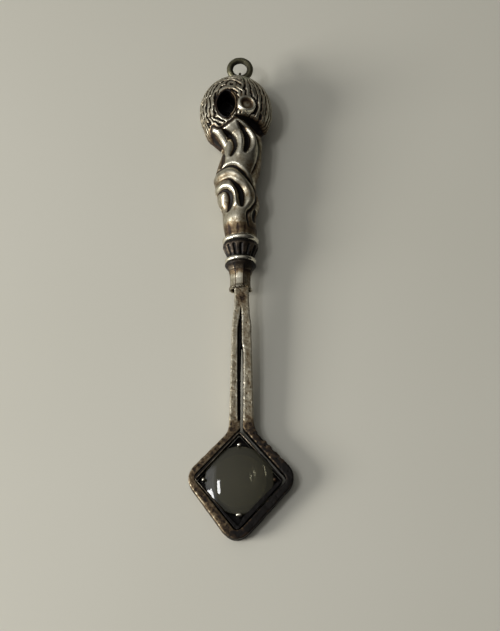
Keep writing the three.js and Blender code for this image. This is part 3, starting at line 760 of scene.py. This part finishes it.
def sculpt_handle(handle):
    """Carves the twist, the strands, the eyelet's lip, the swirl and the boss, the same on both faces,
    and returns the tarnish with painted shade and highlight, and the verdigris, that lie on each place."""
    places = places_of(handle)
    normals = normals_of(handle)
    x, y, z = places.T

    # Where the head, the eyelet, the boss and the swirl are
    edge_gap, _, edge_side = near(places, curve_through(HEAD_EDGE, 120))
    above = ramp(edge_gap * edge_side, -0.1, 0.35) * ramp(y, *HEAD_FOOT)
    front_rim = near(places, eyelet_outline(120))[0]
    back_rim = near(places, eyelet_outline(120, *EYELET_BACK))[0]
    rim_gap = np.where(z > 0, front_rim, back_rim)
    front_well = fall(eyelet_reach(x, y), 1.0, 1.1)
    back_well = fall(eyelet_reach(x, y, *EYELET_BACK), 1.0, 1.2)
    well = np.where(z > EYELET_LEDGE, front_well, back_well)
    boss = np.hypot(x - BOSS_PLACE[0], y - BOSS_PLACE[1])
    swirl = np.hypot(x - SWIRL_PLACE[0], y - SWIRL_PLACE[1])

    # Depth and shade of every groove, strand, lip, rim and ripple
    off_seam = 0.3 + 0.7 * ramp(np.abs(z), 0.3, 1.5)
    cuts = [groove(places, *settings) for settings in TWIST_GROOVES]
    cuts = [(cut * off_seam, shade * off_seam) for cut, shade in cuts]
    level = np.clip(0.78 + 0.45 * noise_field(places, 3.4, 2.0), 0.2, 1.1)
    combed = above * ramp(rim_gap, 0.25, 0.7) * ramp(swirl, 0.9, 1.5) * (1 - well) * ramp(edge_gap, 0.1, 0.7)
    combed *= 1 - 0.75 * ramp(-x, 3.5, 4.5) * fall(y, *LOCK_END)
    between = strands(places) * combed * level
    lip = fall(edge_gap, 0.05, 0.6) * (x < 1) * (y > 70) * (1 - 0.6 * above)
    rim = fall(rim_gap, 0, 0.8)
    rim_shade = fall(rim_gap, 0.2, 0.8) * (np.abs(y - EYELET_PLACE[1]) < RIM_SHADE_HALF)
    ripple = fall(swirl, 0.15, 0.5) + 0.7 * bell(swirl - RIPPLE_RADIUS, RIPPLE_HALF) * ramp(y, *SWIRL_FOOT)
    cuts += [
        (STRAND_DEEP * between, STRAND_DARK * between), (LIP_DEEP * lip, LIP_DARK * lip),
        (RIM_DEEP * rim, RIM_DARK * rim_shade), (RIPPLE_DEEP * ripple, RIPPLE_DARK * ripple),
    ]

    # The boss keeps clear of them, and curls up round its pit on the lower side
    facing = np.arctan2(y - BOSS_PLACE[1], x - BOSS_PLACE[0])
    crescent = 0.5 - 0.5 * np.sin(facing)
    curl = bell(boss - CURL_RADIUS, CURL_HALF) * (CURL_LEAST + CURL_SWELL * crescent)
    pit = fall(boss, 0.85, 1.45)
    quiet = ramp(boss - 0.35 * crescent, 1.7, 2.15)
    cuts = [(cut * quiet, shade * quiet) for cut, shade in cuts] + [groove(places, *BOSS_GROOVE)]
    depth = sum(cut**3 for cut, _ in cuts) ** (1 / 3)
    swell = np.zeros(len(places))
    for height, half_width, points in TWIST_RIDGES:
        gap = near(places, curve_through(points, 8 * len(points)))[0]
        swell = np.maximum(swell, height * bell(gap, half_width))
    move_to(handle, places - normals * (depth * (1 - well) + PIT_DEEP * pit - curl - swell)[:, None])
    finish_with(handle, "SMOOTH", factor=0.4, iterations=2)

    # Tarnish and painted shade: darker at the neck's foot, painted shade under the head, in the eyelet, on the right
    # flank and over the boss, a thin dullness all over, and a darker patch on the left flank
    neck = 0.4 * fall(y, *NECK_END)
    # Painted shadow under the head's lower right edge
    shade_under_head = 0.85 * above * fall(y, *WEDGE_END) * ramp(x, 0.4, 2.0) * (1 - 0.55 * ramp(x, 3.6, 5.2))
    # A thin dullness all over, with painted shade on the right side, the upper twist and the head's flanks
    dullness_and_shade = 0.06 + 0.18 * fall(y, *BULB_END) * ramp(y, *BULB_FOOT) + 0.1 * ramp(x, 0.5, 3.5)
    dullness_and_shade += above * (0.1 + 0.06 * ramp(x, 1.0, 4.0) + 0.05 * ramp(-x, 1.0, 4.0))
    dullness_and_shade += (
        0.08 * ramp(y, *TWIST_FOOT) * fall(y, *TWIST_END) + 0.1 * above * ramp(-x, 1.5, 5) * fall(y, *HEAD_WAIST)
    )
    # The eyelet's inside is painted dark as shade, except the front of its right wall, which faces the light
    inside = well * np.where((x > EYELET_PLACE[0] + 0.9) & (z > 0), 0.2 + 0.8 * ramp(-z, -4.0, -2.2), 1.0)
    # Painted shade on the right flank
    shade_right_rear = 0.16 * ramp(x, 3.4, 4.1) * (y < 73)
    left_rear = 0.25 * ramp(-x, 3.6, 4.4) * (y < 69) * (y > 64.5)
    # Painted shade on the upper side of the boss and its pit
    hole = 0.3 * fall(boss, 1.3, 1.9) * (1 - crescent)
    shades = [shade for _, shade in cuts] + [neck, shade_under_head, dullness_and_shade, inside, shade_right_rear, left_rear, hole]
    # The curl round the pit is painted lighter as a painted highlight, and the pit lighter to its brown
    tarnish_and_shade = layered(shades) - 0.16 * pit - 0.5 * curl * (1 - pit)
    crusts = sum(strength * spot(x, y, middle, half) for strength, middle, half in VERDIGRIS_SPOTS)
    return {"tarnish_and_shade": tarnish_and_shade, "verdigris": crusts * (0.7 + 0.5 * noise_field(places, 0.9, 3.0))}


def half_of(handle, side, tree, marks):
    """The front or back shell of the carved handle, with its marks carried over."""
    half = add_object(handle.name, handle.data.copy())
    reach = 4 * HEAD_HALF[1]
    bpy.ops.mesh.primitive_cube_add(size=1, location=(0, HEAD_PLACE[1], side * (reach + SEAM_GAP) / 2))
    block = fresh("half_block")
    block.scale = (reach, 3 * reach, reach)
    clear_folds(mend_faces(boolean(half, apply_place(block), "INTERSECT", "MANIFOLD"), CUT_WELD))
    nearest = [tree.find(place)[1] for place in places_of(half)]
    for name, values in marks.items():
        store(half, name, values[nearest])
    return half


def make_handle():
    handle = handle_blank()
    marks = sculpt_handle(handle)
    marks["relief"] = relief_of(handle, 40)
    places = places_of(handle)
    tree = kdtree.KDTree(len(places))
    for number, place in enumerate(places):
        tree.insert(place, number)
    tree.balance()
    stations = body_stations(WALL_SHARE, 13)
    x, y, z, wide, deep = stations[0]
    core = drawn_bar("handle_core", [(x, y - CORE_FOOT, z, wide, deep), *stations], 24)
    boolean(handle, core, solver="MANIFOLD")
    for name, side in (("handle_shell_front", 1), ("handle_shell_back", -1)):
        shell = half_of(handle, side, tree, marks)
        shell.name = "carved_" + name
        settle(shell, name, "aged_silver")
    bpy.data.objects.remove(handle)


RING_WIRE = 0.69
RING_DENTS = 0.03
RING_PITS = 0.04


def make_ring():
    low, high = flat_box("suspension_ring")
    radius = (high[0] - low[0]) / 2 - RING_WIRE
    centre = ((low[0] + high[0]) / 2, (low[1] + high[1]) / 2, 0)
    bpy.ops.mesh.primitive_torus_add(
        major_radius=radius, minor_radius=RING_WIRE, major_segments=144, minor_segments=36, location=centre
    )
    ring = apply_place(fresh("hanging_ring"))
    places = places_of(ring)
    dents = patchy(places, 2.2, 3.0)
    pits = np.clip(noise_field(places, 0.7, 6.0) - 0.5, 0, 1)
    move_to(ring, places - normals_of(ring) * (RING_DENTS * dents + RING_PITS * pits)[:, None])
    bore = fall(np.hypot(places[:, 0] - centre[0], places[:, 1] - centre[1]), radius - 0.5, radius)
    mark_tarnish_and_shade(ring, 12, 0.35 * bore)
    settle(ring, "suspension_ring", "tarnished_ring", "ring_body")


def make_staple():
    low, high = flat_box("ring_staple")
    wire = (high[0] - low[0]) / 2
    bow = high[2] - wire
    top = high[1] - wire
    arch = [
        (RING_SHIFT, top - bow + bow * math.sin(turn), -bow * math.cos(turn)) for turn in np.linspace(0, math.pi, 9)
    ]
    points = [(RING_SHIFT, low[1], -bow), *arch, (RING_SHIFT, low[1], bow)]
    staple = wire_rod("crown_staple", points, [wire * 0.97] * len(points))
    mark_tarnish_and_shade(staple, 6, 0.2)
    settle(staple, "ring_staple", "tarnished_ring")


def make_collar_ring(node, name, seed):
    low, high = flat_box(node)
    wire = (high[1] - low[1]) / 2
    radius = high[0] - wire
    ring = turned(name, circle_points(radius, (low[1] + high[1]) / 2, wire, 32), 1, 160)
    places = wear_down(ring, 2.6, seed, 0.05)
    out = np.hypot(places[:, 0], places[:, 2]) - radius
    mark_tarnish_and_shade(ring, 10, 0.8 * fall(out, -wire * 0.2, wire * 0.5) - 0.16)
    settle(ring, node, "aged_silver")


# Fluted collar: heights and spreads of its outline as shares, and how its flutes are cut
DRUM_PROFILE_SHARES = [(1, 0.9), (0.97, 0.97), (0.88, 1), (0.76, 1), (0.68, 0.93), (0.45, 0.6), (0.2, 0.22), (0, 0)]
DRUM_FOOT_RADIUS = 2.72
DRUM_FLUTES = 14
FLUTE_TURN = 0.15
FLUTE_DEEP = 0.33
DRUM_DENTS = 0.04
STEM_BORE = 1.95


def make_fluted_collar():
    low, high = flat_box("fluted_collar")
    length = high[1] - low[1]
    spread = high[0] - DRUM_FOOT_RADIUS
    outer = [(DRUM_FOOT_RADIUS + spread * out, low[1] + length * up) for up, out in DRUM_PROFILE_SHARES]
    drum = turned("fluted_drum", [(STEM_BORE, low[1]), (STEM_BORE, high[1]), *outer], 0.07, 336)
    places, radius, angle, out = turned_places(drum)
    up = (places[:, 1] - low[1]) / length
    cut = (0.5 + 0.5 * np.cos((angle - FLUTE_TURN) * DRUM_FLUTES + 0.3 * np.sin(3 * angle))) ** 2.6
    skin = ramp(radius, STEM_BORE, STEM_BORE + 0.5)
    fluted = fall(up, 0.66, 0.82) * ramp(up, 0, 0.06) * skin
    bumps = DRUM_DENTS * patchy(places, 1.2, 5.0) * skin
    move_to(drum, places - out * (FLUTE_DEEP * cut * fluted + bumps)[:, None])
    mark_tarnish_and_shade(drum, 16, 0.5 * cut * fluted + 0.25 * ramp(up, 0.8, 1.0) + 0.3 * fall(up, 0, 0.25) + 0.04)
    settle(drum, "fluted_collar", "dark_silver")


# Ferrule: eight hammered facets on a round tube with a torn, flared mouth
FERRULE_FACETS = 8
FERRULE_FLARE = 0.17
FACET_TURN = 0.31
FACET_FLATNESS = 0.75
FACET_LINE_DEEP = 0.06
FACET_LINE_HALF = 0.1
CUP_FOOT_FLARE = 0.3
CUP_COVE_SHARES = [(1, 0.86), (0.93, 0.74), (0.72, 0.6), (0.48, 0.42), (0.26, 0.24), (0.1, 0.1), (0, 0)]
CUP_DENTS = 0.03
# How far the mouth stands back, and its lump and gap: place in radians, half width and height
MOUTH_BACK = 0.15
MOUTH_LUMPS = [(1.35, 1.3, 0.15), (2.5, 0.4, -0.3)]


def facet_dip(angle, radius):
    """How far a flat facet lies inside the round, and where two facets meet in a fine line."""
    wide = 2 * math.pi / FERRULE_FACETS
    within = (angle + FACET_TURN) % wide - wide / 2
    flat = radius * (1 - math.cos(wide / 2) / np.cos(within))
    line = bell((wide / 2 - np.abs(within)) * radius, FACET_LINE_HALF)
    return FACET_FLATNESS * flat + FACET_LINE_DEEP * line, line


def make_ferrule_tube(radius):
    low, high = flat_box("ferrule_tube")
    profile = [
        (STEM_BORE, low[1]), (high[0], low[1]), (radius + FERRULE_FLARE * 0.8, low[1] + FERRULE_FLARE),
        (radius, low[1] + 5 * FERRULE_FLARE), (radius, high[1] - 1.8), (radius + 0.12, high[1] - 0.8),
        (radius + CUP_FOOT_FLARE, high[1]), (STEM_BORE, high[1]),
    ]
    tube = turned("faceted_ferrule", profile, 0.06, 240)
    places, reach, angle, out = turned_places(tube)
    up = places[:, 1] - low[1]
    skin = ramp(reach, STEM_BORE - 0.05, STEM_BORE + 0.12)
    dip, line = facet_dip(angle, radius)
    torn = 0.2 * noise_field(out * 2.2, 1.6, 2.0) + 0.12 * noise_field(out * 2.2, 0.6, 5.0)
    for turn, half_width, height in MOUTH_LUMPS:
        torn += height * bell((angle - turn) * radius, half_width)
    moved = places - out * (dip * skin * ramp(up, -0.3, 1.0))[:, None]
    moved[:, 1] += np.clip(torn + MOUTH_BACK, 0, 1) * fall(up, 0, 1.2)
    move_to(tube, moved)
    # Painted shade on the tube's right front side
    shaded_side = ramp(np.cos(angle - 0.9), 0.75, 0.97) * 0.2
    mark_tarnish_and_shade(tube, 14, 0.45 * line * skin + 0.3 * ramp(up, 2.4, 4.0) + 0.3 * (1 - skin) + 0.1 + shaded_side)
    settle(tube, "ferrule_tube", "aged_silver")


def make_ferrule_cup(radius):
    low, high = flat_box("ferrule_cup")
    length = high[1] - low[1]
    foot = radius + CUP_FOOT_FLARE
    spread = high[0] - foot
    cove = [(foot + spread * out, low[1] + length * up) for out, up in CUP_COVE_SHARES]
    profile = [(STEM_BORE, low[1]), (STEM_BORE, high[1]), (high[0] - 0.05, high[1]), *cove]
    cup = turned("ferrule_cove", profile, 0.06, 200)
    places, reach, angle, out = turned_places(cup)
    up = (places[:, 1] - low[1]) / length
    skin = ramp(reach, STEM_BORE, radius)
    dip, line = facet_dip(angle, radius)
    bumps = CUP_DENTS * patchy(places, 1.0, 8.0)
    move_to(cup, places - out * (skin * (dip * fall(up, 0.2, 0.7) + bumps))[:, None])
    mark_tarnish_and_shade(cup, 14, 0.4 * line * fall(up, 0.2, 0.7) + 0.2 * ramp(up, 0.2, 0.7))
    settle(cup, "ferrule_cup", "dark_silver")


def make_ferrule():
    radius = flat_box("ferrule_tube")[1][0] - FERRULE_FLARE
    make_ferrule_tube(radius)
    make_ferrule_cup(radius)


TENON_RADIUS = 1.25
PLUG_GAP = 0.1
PLUG_LUMPS = 0.12


def make_pitch_plug():
    low, high = flat_box("ferrule_solder")
    inner = TENON_RADIUS + PLUG_GAP
    profile = [(inner, low[1]), (high[0], low[1]), (high[0], high[1]), (inner, high[1])]
    plug = turned("ferrule_pitch", profile, 0.08, 120)
    places = places_of(plug)
    lumps = PLUG_LUMPS * noise_field(places, 0.8, 9.0) + PLUG_LUMPS
    places[:, 1] += np.clip(lumps, 0, 1) * fall(places[:, 1], low[1], low[1] + 0.4)
    move_to(plug, places)
    settle(plug, "ferrule_solder", "pitch")


# Strap frame and liner, as shares of the frame's half width: left, bottom, right and top corners
FRAME_HALF = 10.4
OUTER_CORNER_SHARES = [(-1.052, 0.05), (-0.085, -1.275), (1.103, 0.043), (0.064, 1.196)]
INNER_CORNER_SHARES = [(-0.885, 0.043), (-0.058, -1.012), (0.9, 0.01), (0.034, 1.01)]
LINER_CORNER_SHARES = [(-0.865, 0.038), (-0.052, -0.972), (0.817, -0.01), (-0.014, 0.94)]
MOUTH_CORNER_SHARES = [(-0.822, 0), (-0.03, -0.885), (0.06, -0.7), (0.67, -0.07), (0.79, 0), (-0.0145, 0.888)]
FRAME_OUTER_ROUND = 3.7
FRAME_INNER_ROUND = 1.5
LINER_OUTER_ROUND = 0.7
LINER_INNER_ROUND = 0.3
# The legs: half widths of their outside and heights from the joint down to the waist, and of the root
LEG_SHIFT = 0.24
LEG_ROWS = [(1.42, 36.3), (1.92, 31.0), (2.2, 18.3)]
LEG_ROOT_HALF = 2.43
LEG_BEND_ROUND = 3
SLIT_SHIFT = 0.3
SLIT_ROOT = 0.58
SLIT_TOP = 0.3
SLIT_TOP_PLACE = 27.0
# The hollow between the legs, painted black as shade: its left and right edge at rising places
HOLLOW_PLACES = [12, 26, 28, 31, 35.6]
HOLLOW_LEFT = [-0.5, -0.58, -0.56, -0.5, 0.1]
HOLLOW_RIGHT = [0.6, 0.6, 0.3, 0.26, 0.2]
HOLLOW_DEEP = 0.8
HOLLOW_FOOT = (11, 13.5)
HOLLOW_END = (33.5, 35.8)
STRAP_VOXEL = 0.11
# Hammering: depth of the dents and of the pits, and how far the skin stands out between them
STRAP_DENTS = 0.06
STRAP_PITS = 0.09
STRAP_SKIN = 0.08
SOLDER_PLACE = (0.3, 37.4)
SOLDER_HALF = (0.9, 1.1)
SOLDER_LUMPS = 0.07
# Notches on the right shoulder: place and radius of each
SCARS = [(6.9, 6.1, 0.5), (5.7, 7.3, 0.35), (4.6, 8.4, 0.6), (3.9, 9.1, 0.4), (8.2, 4.6, 0.3)]
SCAR_DEEP = 0.3
FRAME_END = (9, 14)


def corners_of(shares, rounding, inset=0.0):
    corners = []
    for x, y in shares:
        away = math.hypot(x, y) * FRAME_HALF
        scale = FRAME_HALF * (away - inset) / away
        corners.append((x * scale, y * scale, rounding))
    return corners


def crossing(start, end, x):
    return start[1] + (x - start[0]) * (end[1] - start[1]) / (end[0] - start[0])


def strap_outlines():
    """The strap's outside and the opening with its slit."""
    left, bottom, right, top = corners_of(OUTER_CORNER_SHARES, FRAME_OUTER_ROUND)
    in_left, in_bottom, in_right, in_top = corners_of(INNER_CORNER_SHARES, FRAME_INNER_ROUND)
    root_left = LEG_SHIFT - LEG_ROOT_HALF
    root_right = LEG_SHIFT + LEG_ROOT_HALF
    slit_left = SLIT_SHIFT - SLIT_ROOT / 2
    slit_right = SLIT_SHIFT + SLIT_ROOT / 2
    strap_top = flat_box("frame_strap")[1][1]
    rows = [(LEG_ROWS[0][0], strap_top, 0), *((half, place, LEG_BEND_ROUND) for half, place in LEG_ROWS)]
    waist = LEG_ROWS[-1][1]
    outside = [
        *((LEG_SHIFT - half, place, bend) for half, place, bend in rows),
        (root_left, crossing(left, top, root_left), LEG_BEND_ROUND), left, bottom,
        right, (root_right, crossing(right, top, root_right), LEG_BEND_ROUND),
        *((LEG_SHIFT + half, place, bend) for half, place, bend in rows[::-1]),
    ]
    opening = [
        (SLIT_SHIFT - SLIT_TOP / 2, SLIT_TOP_PLACE, 0), (slit_left, waist, LEG_BEND_ROUND),
        (slit_left, crossing(in_left, in_top, slit_left), LINER_INNER_ROUND), in_left, in_bottom,
        in_right, (slit_right, crossing(in_right, in_top, slit_right), LINER_INNER_ROUND),
        (slit_right, waist, LEG_BEND_ROUND), (SLIT_SHIFT + SLIT_TOP / 2, SLIT_TOP_PLACE, 0),
    ]
    return rounded(outside, 0.25), rounded(opening, 0.2)


def make_strap():
    half_depth = flat_box("frame_strap")[1][2]
    outline, opening = strap_outlines()
    strap = slab_of("forged_strap", outline, -half_depth, half_depth)
    boolean(strap, slab_of("strap_opening", opening, -2 * half_depth, 2 * half_depth))
    remesh(strap, STRAP_VOXEL, 7)
    places = places_of(strap)
    normals = normals_of(strap)
    x, y, z = places.T

    # Hammer marks, pits, lumps of solder, the notches, and the hollow between the legs
    hammer = patchy(places, 4.2, 2.0)
    pits = np.clip(noise_field(places, 1.3, 7.0) - 0.6, 0, 1)
    depth = STRAP_DENTS * hammer + STRAP_PITS * pits - STRAP_SKIN
    solder = spot(x, y, SOLDER_PLACE, SOLDER_HALF)
    lumps = noise_field(places, 0.8, 4.0)
    depth -= SOLDER_LUMPS * solder * lumps
    scar = np.zeros(len(places))
    for at_x, at_y, size in SCARS:
        scar = np.maximum(scar, fall(np.hypot(x - at_x, y - at_y), size * 0.5, size + 0.35))
    depth += SCAR_DEEP * scar
    hollow_left = np.interp(y, HOLLOW_PLACES, HOLLOW_LEFT)
    hollow_right = np.interp(y, HOLLOW_PLACES, HOLLOW_RIGHT)
    between_legs = ramp(x, hollow_left - 0.05, hollow_left + 0.2) * fall(x, hollow_right - 0.1, hollow_right + 0.1)
    sunk = HOLLOW_DEEP * between_legs * ramp(y, *HOLLOW_FOOT) * fall(y, *HOLLOW_END)
    moved = places - normals * depth[:, None]
    moved[:, 2] -= np.sign(z) * sunk * ramp(np.abs(z), 0.4, 1.2)
    move_to(strap, moved)

    # Painted shade on the opening's sides, in the notches, on the frame's right side and in the hollow; darker
    # tarnish on the frame and the solder
    opening_gap = near(places, np.vstack([opening, opening[:1]]))[0]
    shade_on_walls = fall(np.abs(normals[:, 2]), 0.3, 0.8) * fall(opening_gap, 0.1, 0.4)
    in_frame = fall(y, *FRAME_END)
    shade_right_side = in_frame * (0.24 * ramp(x, 0, 3) + 0.36 * ramp(x * 0.75 - y * 0.6, 3.5, 6.0))
    shades = [0.8 * shade_on_walls, 0.85 * scar, shade_right_side, 0.97 * ramp(sunk, 0.1, 0.35), 0.27 * in_frame, 0.4 * solder]
    blotches = 0.12 * solder * lumps + 0.13 * in_frame * noise_field(places, 2.1, 5.0) - 0.06 * (1 - in_frame)
    mark_tarnish_and_shade(strap, 14, layered(shades) + blotches)
    settle(strap, "frame_strap", "tarnished_strap")


# Lens, liner and seat. The lens's rim is the fourth row of its sphere from the middle
LENS_EDGE = 0.9
LENS_BULGE = 1.0
LENS_ROWS = 64
LENS_RIM_ROW = 4
LENS_SHRINK = -0.02
LENS_CLEARANCE = 0.1
LINER_VOXEL = 0.075
LINER_WEAR = 0.04
PLATE_INSET = 0.14
PLATE_HOLE_RADIUS = 5.1


def lens_blank(name, grow, sides):
    """The lens: a sphere whose rows are pressed into two shallow domes on a short edge."""
    low, high = flat_box("lens")
    radius = (high[0] - low[0]) / 2
    dome = (radius**2 + LENS_BULGE**2) / (2 * LENS_BULGE)
    bpy.ops.mesh.primitive_uv_sphere_add(segments=sides, ring_count=LENS_ROWS, radius=1)
    lens = fresh(name)
    places = places_of(lens)
    out = np.hypot(places[:, 0], places[:, 1])
    rim_turn = LENS_RIM_ROW * math.pi / LENS_ROWS
    share = np.minimum(out / math.cos(rim_turn), 1)
    arch = np.sqrt(dome**2 - (share * radius) ** 2) - dome + LENS_BULGE
    edge = np.clip(np.abs(places[:, 2]) / math.sin(rim_turn), 0, 1) * (LENS_EDGE / 2 + grow)
    across = places[:, :2] / np.maximum(out, 1e-9)[:, None] * (share * (radius + grow))[:, None]
    rise = np.sign(places[:, 2]) * (edge + arch)
    move_to(lens, np.column_stack([across, rise]))
    lens.location = (low + high) / 2
    return apply_place(lens)


def make_lens():
    lens = lens_blank("thick_lens", LENS_SHRINK, 160)
    mend_faces(bevel(lens, 0.08, 30))
    settle(lens, "lens", "lens_glass")


def make_liner():
    low, high = flat_box("lens_liner")
    outer = rounded(corners_of(LINER_CORNER_SHARES, LINER_OUTER_ROUND), 0.15)
    mouth = rounded(corners_of(MOUTH_CORNER_SHARES, LINER_INNER_ROUND), 0.15)
    liner = slab_of("thin_liner", outer, low[2], high[2])
    boolean(liner, slab_of("liner_mouth", mouth, 2 * low[2], 2 * high[2]))
    boolean(liner, lens_blank("lens_seat", LENS_CLEARANCE, 96))
    remesh(liner, LINER_VOXEL, 5)
    places = wear_down(liner, 1.8, 2.5, LINER_WEAR)
    mouth_gap = near(places, np.vstack([mouth, mouth[:1]]))[0]
    # Painted highlight along the mouth's edge, weaker on the lower right side, away from the light
    ridge_highlight = fall(mouth_gap, 0.12, 0.3) * ramp(np.abs(places[:, 2]), 0.8, 1.25)
    away = ramp(places[:, 0] * 0.75 - places[:, 1] * 0.45, -2.0, 2.0)
    mark_tarnish_and_shade(liner, 14, 0.6 - (0.75 - 0.6 * away) * ridge_highlight)
    settle(liner, "lens_liner", "dark_silver")


def make_seat_plate():
    low, high = flat_box("lens_seat_plate")
    rim = rounded(corners_of(MOUTH_CORNER_SHARES, LINER_INNER_ROUND, PLATE_INSET), 0.15)
    plate = slab_of("seat_plate", rim, low[2], high[2])
    lens_low, lens_high = flat_box("lens")
    middle = (lens_low + lens_high) / 2
    hole = circle_points(middle[0], middle[1], PLATE_HOLE_RADIUS, 96)
    boolean(plate, slab_of("plate_hole", hole, low[2] - 1, high[2] + 1))
    bevel(plate, 0.06, 40)
    # The plate is darkened all over, as tarnish and as painted shade for the frame's deep corners
    store(plate, "tarnish_and_shade", 0.5)
    store(plate, "relief", 0.0)
    settle(plate, "lens_seat_plate", "dark_silver")


# Each claw, how much wider than its wire the tip is hammered, and its darkness, painted shade on the right claw
CLAWS = (("right", 1.0, 0.55), ("top", 1.5, 0.0), ("left", 1.3, 0.1), ("bottom", 2.3, 0.0))
CLAW_OFF = 0.34
CLAW_RADII = [0.23, 0.23, 0.24, 0.28, 0.24]


def make_claws():
    lens_low, lens_high = flat_box("lens")
    centre = (lens_low + lens_high)[:2] / 2
    post = (lens_high[0] - lens_low[0]) / 2 + CLAW_OFF
    for number, (corner, spread, dark) in enumerate(CLAWS):
        node = "lens_claw_" + corner
        low, high = flat_box(node)
        angle = number * math.pi / 2
        outward = np.array((math.cos(angle), math.sin(angle)))
        tip = [(post - 0.08, high[2] - 0.24), (post - 0.4, high[2] - 0.26)]
        route = [(post, low[2]), (post, 0), (post, 0.55), *tip]
        points = [(*(centre + outward * out), height) for out, height in route]
        claw = wire_rod("claw_" + corner, points, CLAW_RADII)
        places = places_of(claw)
        aside = np.array((-outward[1], outward[0]))
        off = (places[:, :2] - centre) @ aside
        widen = off * (spread - 1) * ramp(places[:, 2], 0.4, 1.0)
        places[:, :2] += aside * widen[:, None]
        move_to(claw, places)
        store(claw, "relief", 0.04)
        store(claw, "tarnish_and_shade", dark)
        settle(claw, node, "aged_silver")


def finish_hidden_nodes():
    for node, slot in (("handle_filling", "pitch"), ("tang", "iron")):
        dress(frame["nodes"][node], slot)


# Camera, table and light
CAMERA_AIM = Vector((1.74, -5.83, 2.0)) * MM
CAMERA_DISTANCE = 300 * MM
CAMERA_RISE = math.radians(68)
FOCAL_PIXELS = 1484
PHOTO_HEIGHT = 631


def set_camera():
    data = bpy.data.cameras.new("photo_camera")
    data.sensor_width = 36
    data.lens = data.sensor_width * FOCAL_PIXELS / PHOTO_HEIGHT
    data.clip_start = 0.01
    data.clip_end = 10
    camera = add_object("photo_camera", data)
    back = Vector((0, -math.cos(CAMERA_RISE), math.sin(CAMERA_RISE)))
    camera.location = CAMERA_AIM + back * CAMERA_DISTANCE
    camera.rotation_euler = (math.pi / 2 - CAMERA_RISE, 0, 0)
    bpy.context.scene.camera = camera


def add_window(name, direction, distance, width, height, brightness, colour):
    """A soft rectangular light that faces the object, as bright all over as the given radiance."""
    data = bpy.data.lights.new(name, "AREA")
    data.shape = "RECTANGLE"
    data.size = width
    data.size_y = height
    data.energy = brightness * math.pi * width * height
    data.color = linear(colour)[:3]
    light = add_object(name, data)
    toward = Vector(direction).normalized()
    light.location = toward * distance
    light.rotation_euler = toward.to_track_quat("Z", "Y").to_euler()


def set_room():
    """A dim room that is paler overhead and towards the window on the left."""
    world = bpy.data.worlds.new("room")
    world.use_nodes = True
    tree = world.node_tree
    way = add_node(tree, "ShaderNodeTexCoord").node.outputs["Generated"]
    toward = add_node(tree, "ShaderNodeVectorMath", {0: way, 1: (-0.62, 0.15, 0.77)}, operation="DOT_PRODUCT")
    light = add_node(
        tree, "ShaderNodeValToRGB", {"Fac": toward.node.outputs["Value"]},
        stops=[(0.0, "#242322"), (0.3, "#4A4947"), (0.7, "#959490"), (1.0, "#B4B3AF")],
    )
    set_inputs(tree, tree.nodes["Background"], {"Color": light, "Strength": 1.0})
    bpy.context.scene.world = world


TABLE_SIZE = 3
TABLE_DROP = 0.00002
# Each light's name, direction, distance, width, height, brightness and colour
WINDOWS = (
    ("low_window", (-0.9, -0.24, 0.36), 0.6, 0.22, 0.2, 26.0, "#FFFCF6"),
    ("left_pane", (-0.487, -0.133, 0.864), 0.6, 0.1, 0.05, 20.0, "#FFFFFF"),
    ("right_pane", (-0.36, -0.02, 0.93), 0.6, 0.14, 0.03, 20.0, "#FFFFFF"),
    ("pale_curtain", (-0.5, -0.02, 0.86), 0.62, 0.44, 0.1, 0.55, "#F4F7FF"),
    ("curtain_edge", (-0.51, -0.02, 0.855), 0.63, 0.52, 0.16, 0.45, "#F4F7FF"),
)


def set_stage():
    bpy.ops.mesh.primitive_grid_add(x_subdivisions=4, y_subdivisions=4, size=TABLE_SIZE, location=(0, 0, -TABLE_DROP))
    table = apply_place(fresh("table"))
    table.data.materials.append(matt_table())
    for window in WINDOWS:
        add_window(*window)
    set_room()
    bpy.context.scene.view_settings.view_transform = "Standard"


make_handle()
make_ring()
make_staple()
make_collar_ring("upper_collar_ring", "upper_bead_ring", 1.0)
make_collar_ring("lower_collar_ring", "lower_bead_ring", 4.0)
make_fluted_collar()
make_ferrule()
make_pitch_plug()
make_strap()
make_lens()
make_liner()
make_seat_plate()
make_claws()
finish_hidden_nodes()
set_camera()
set_stage()
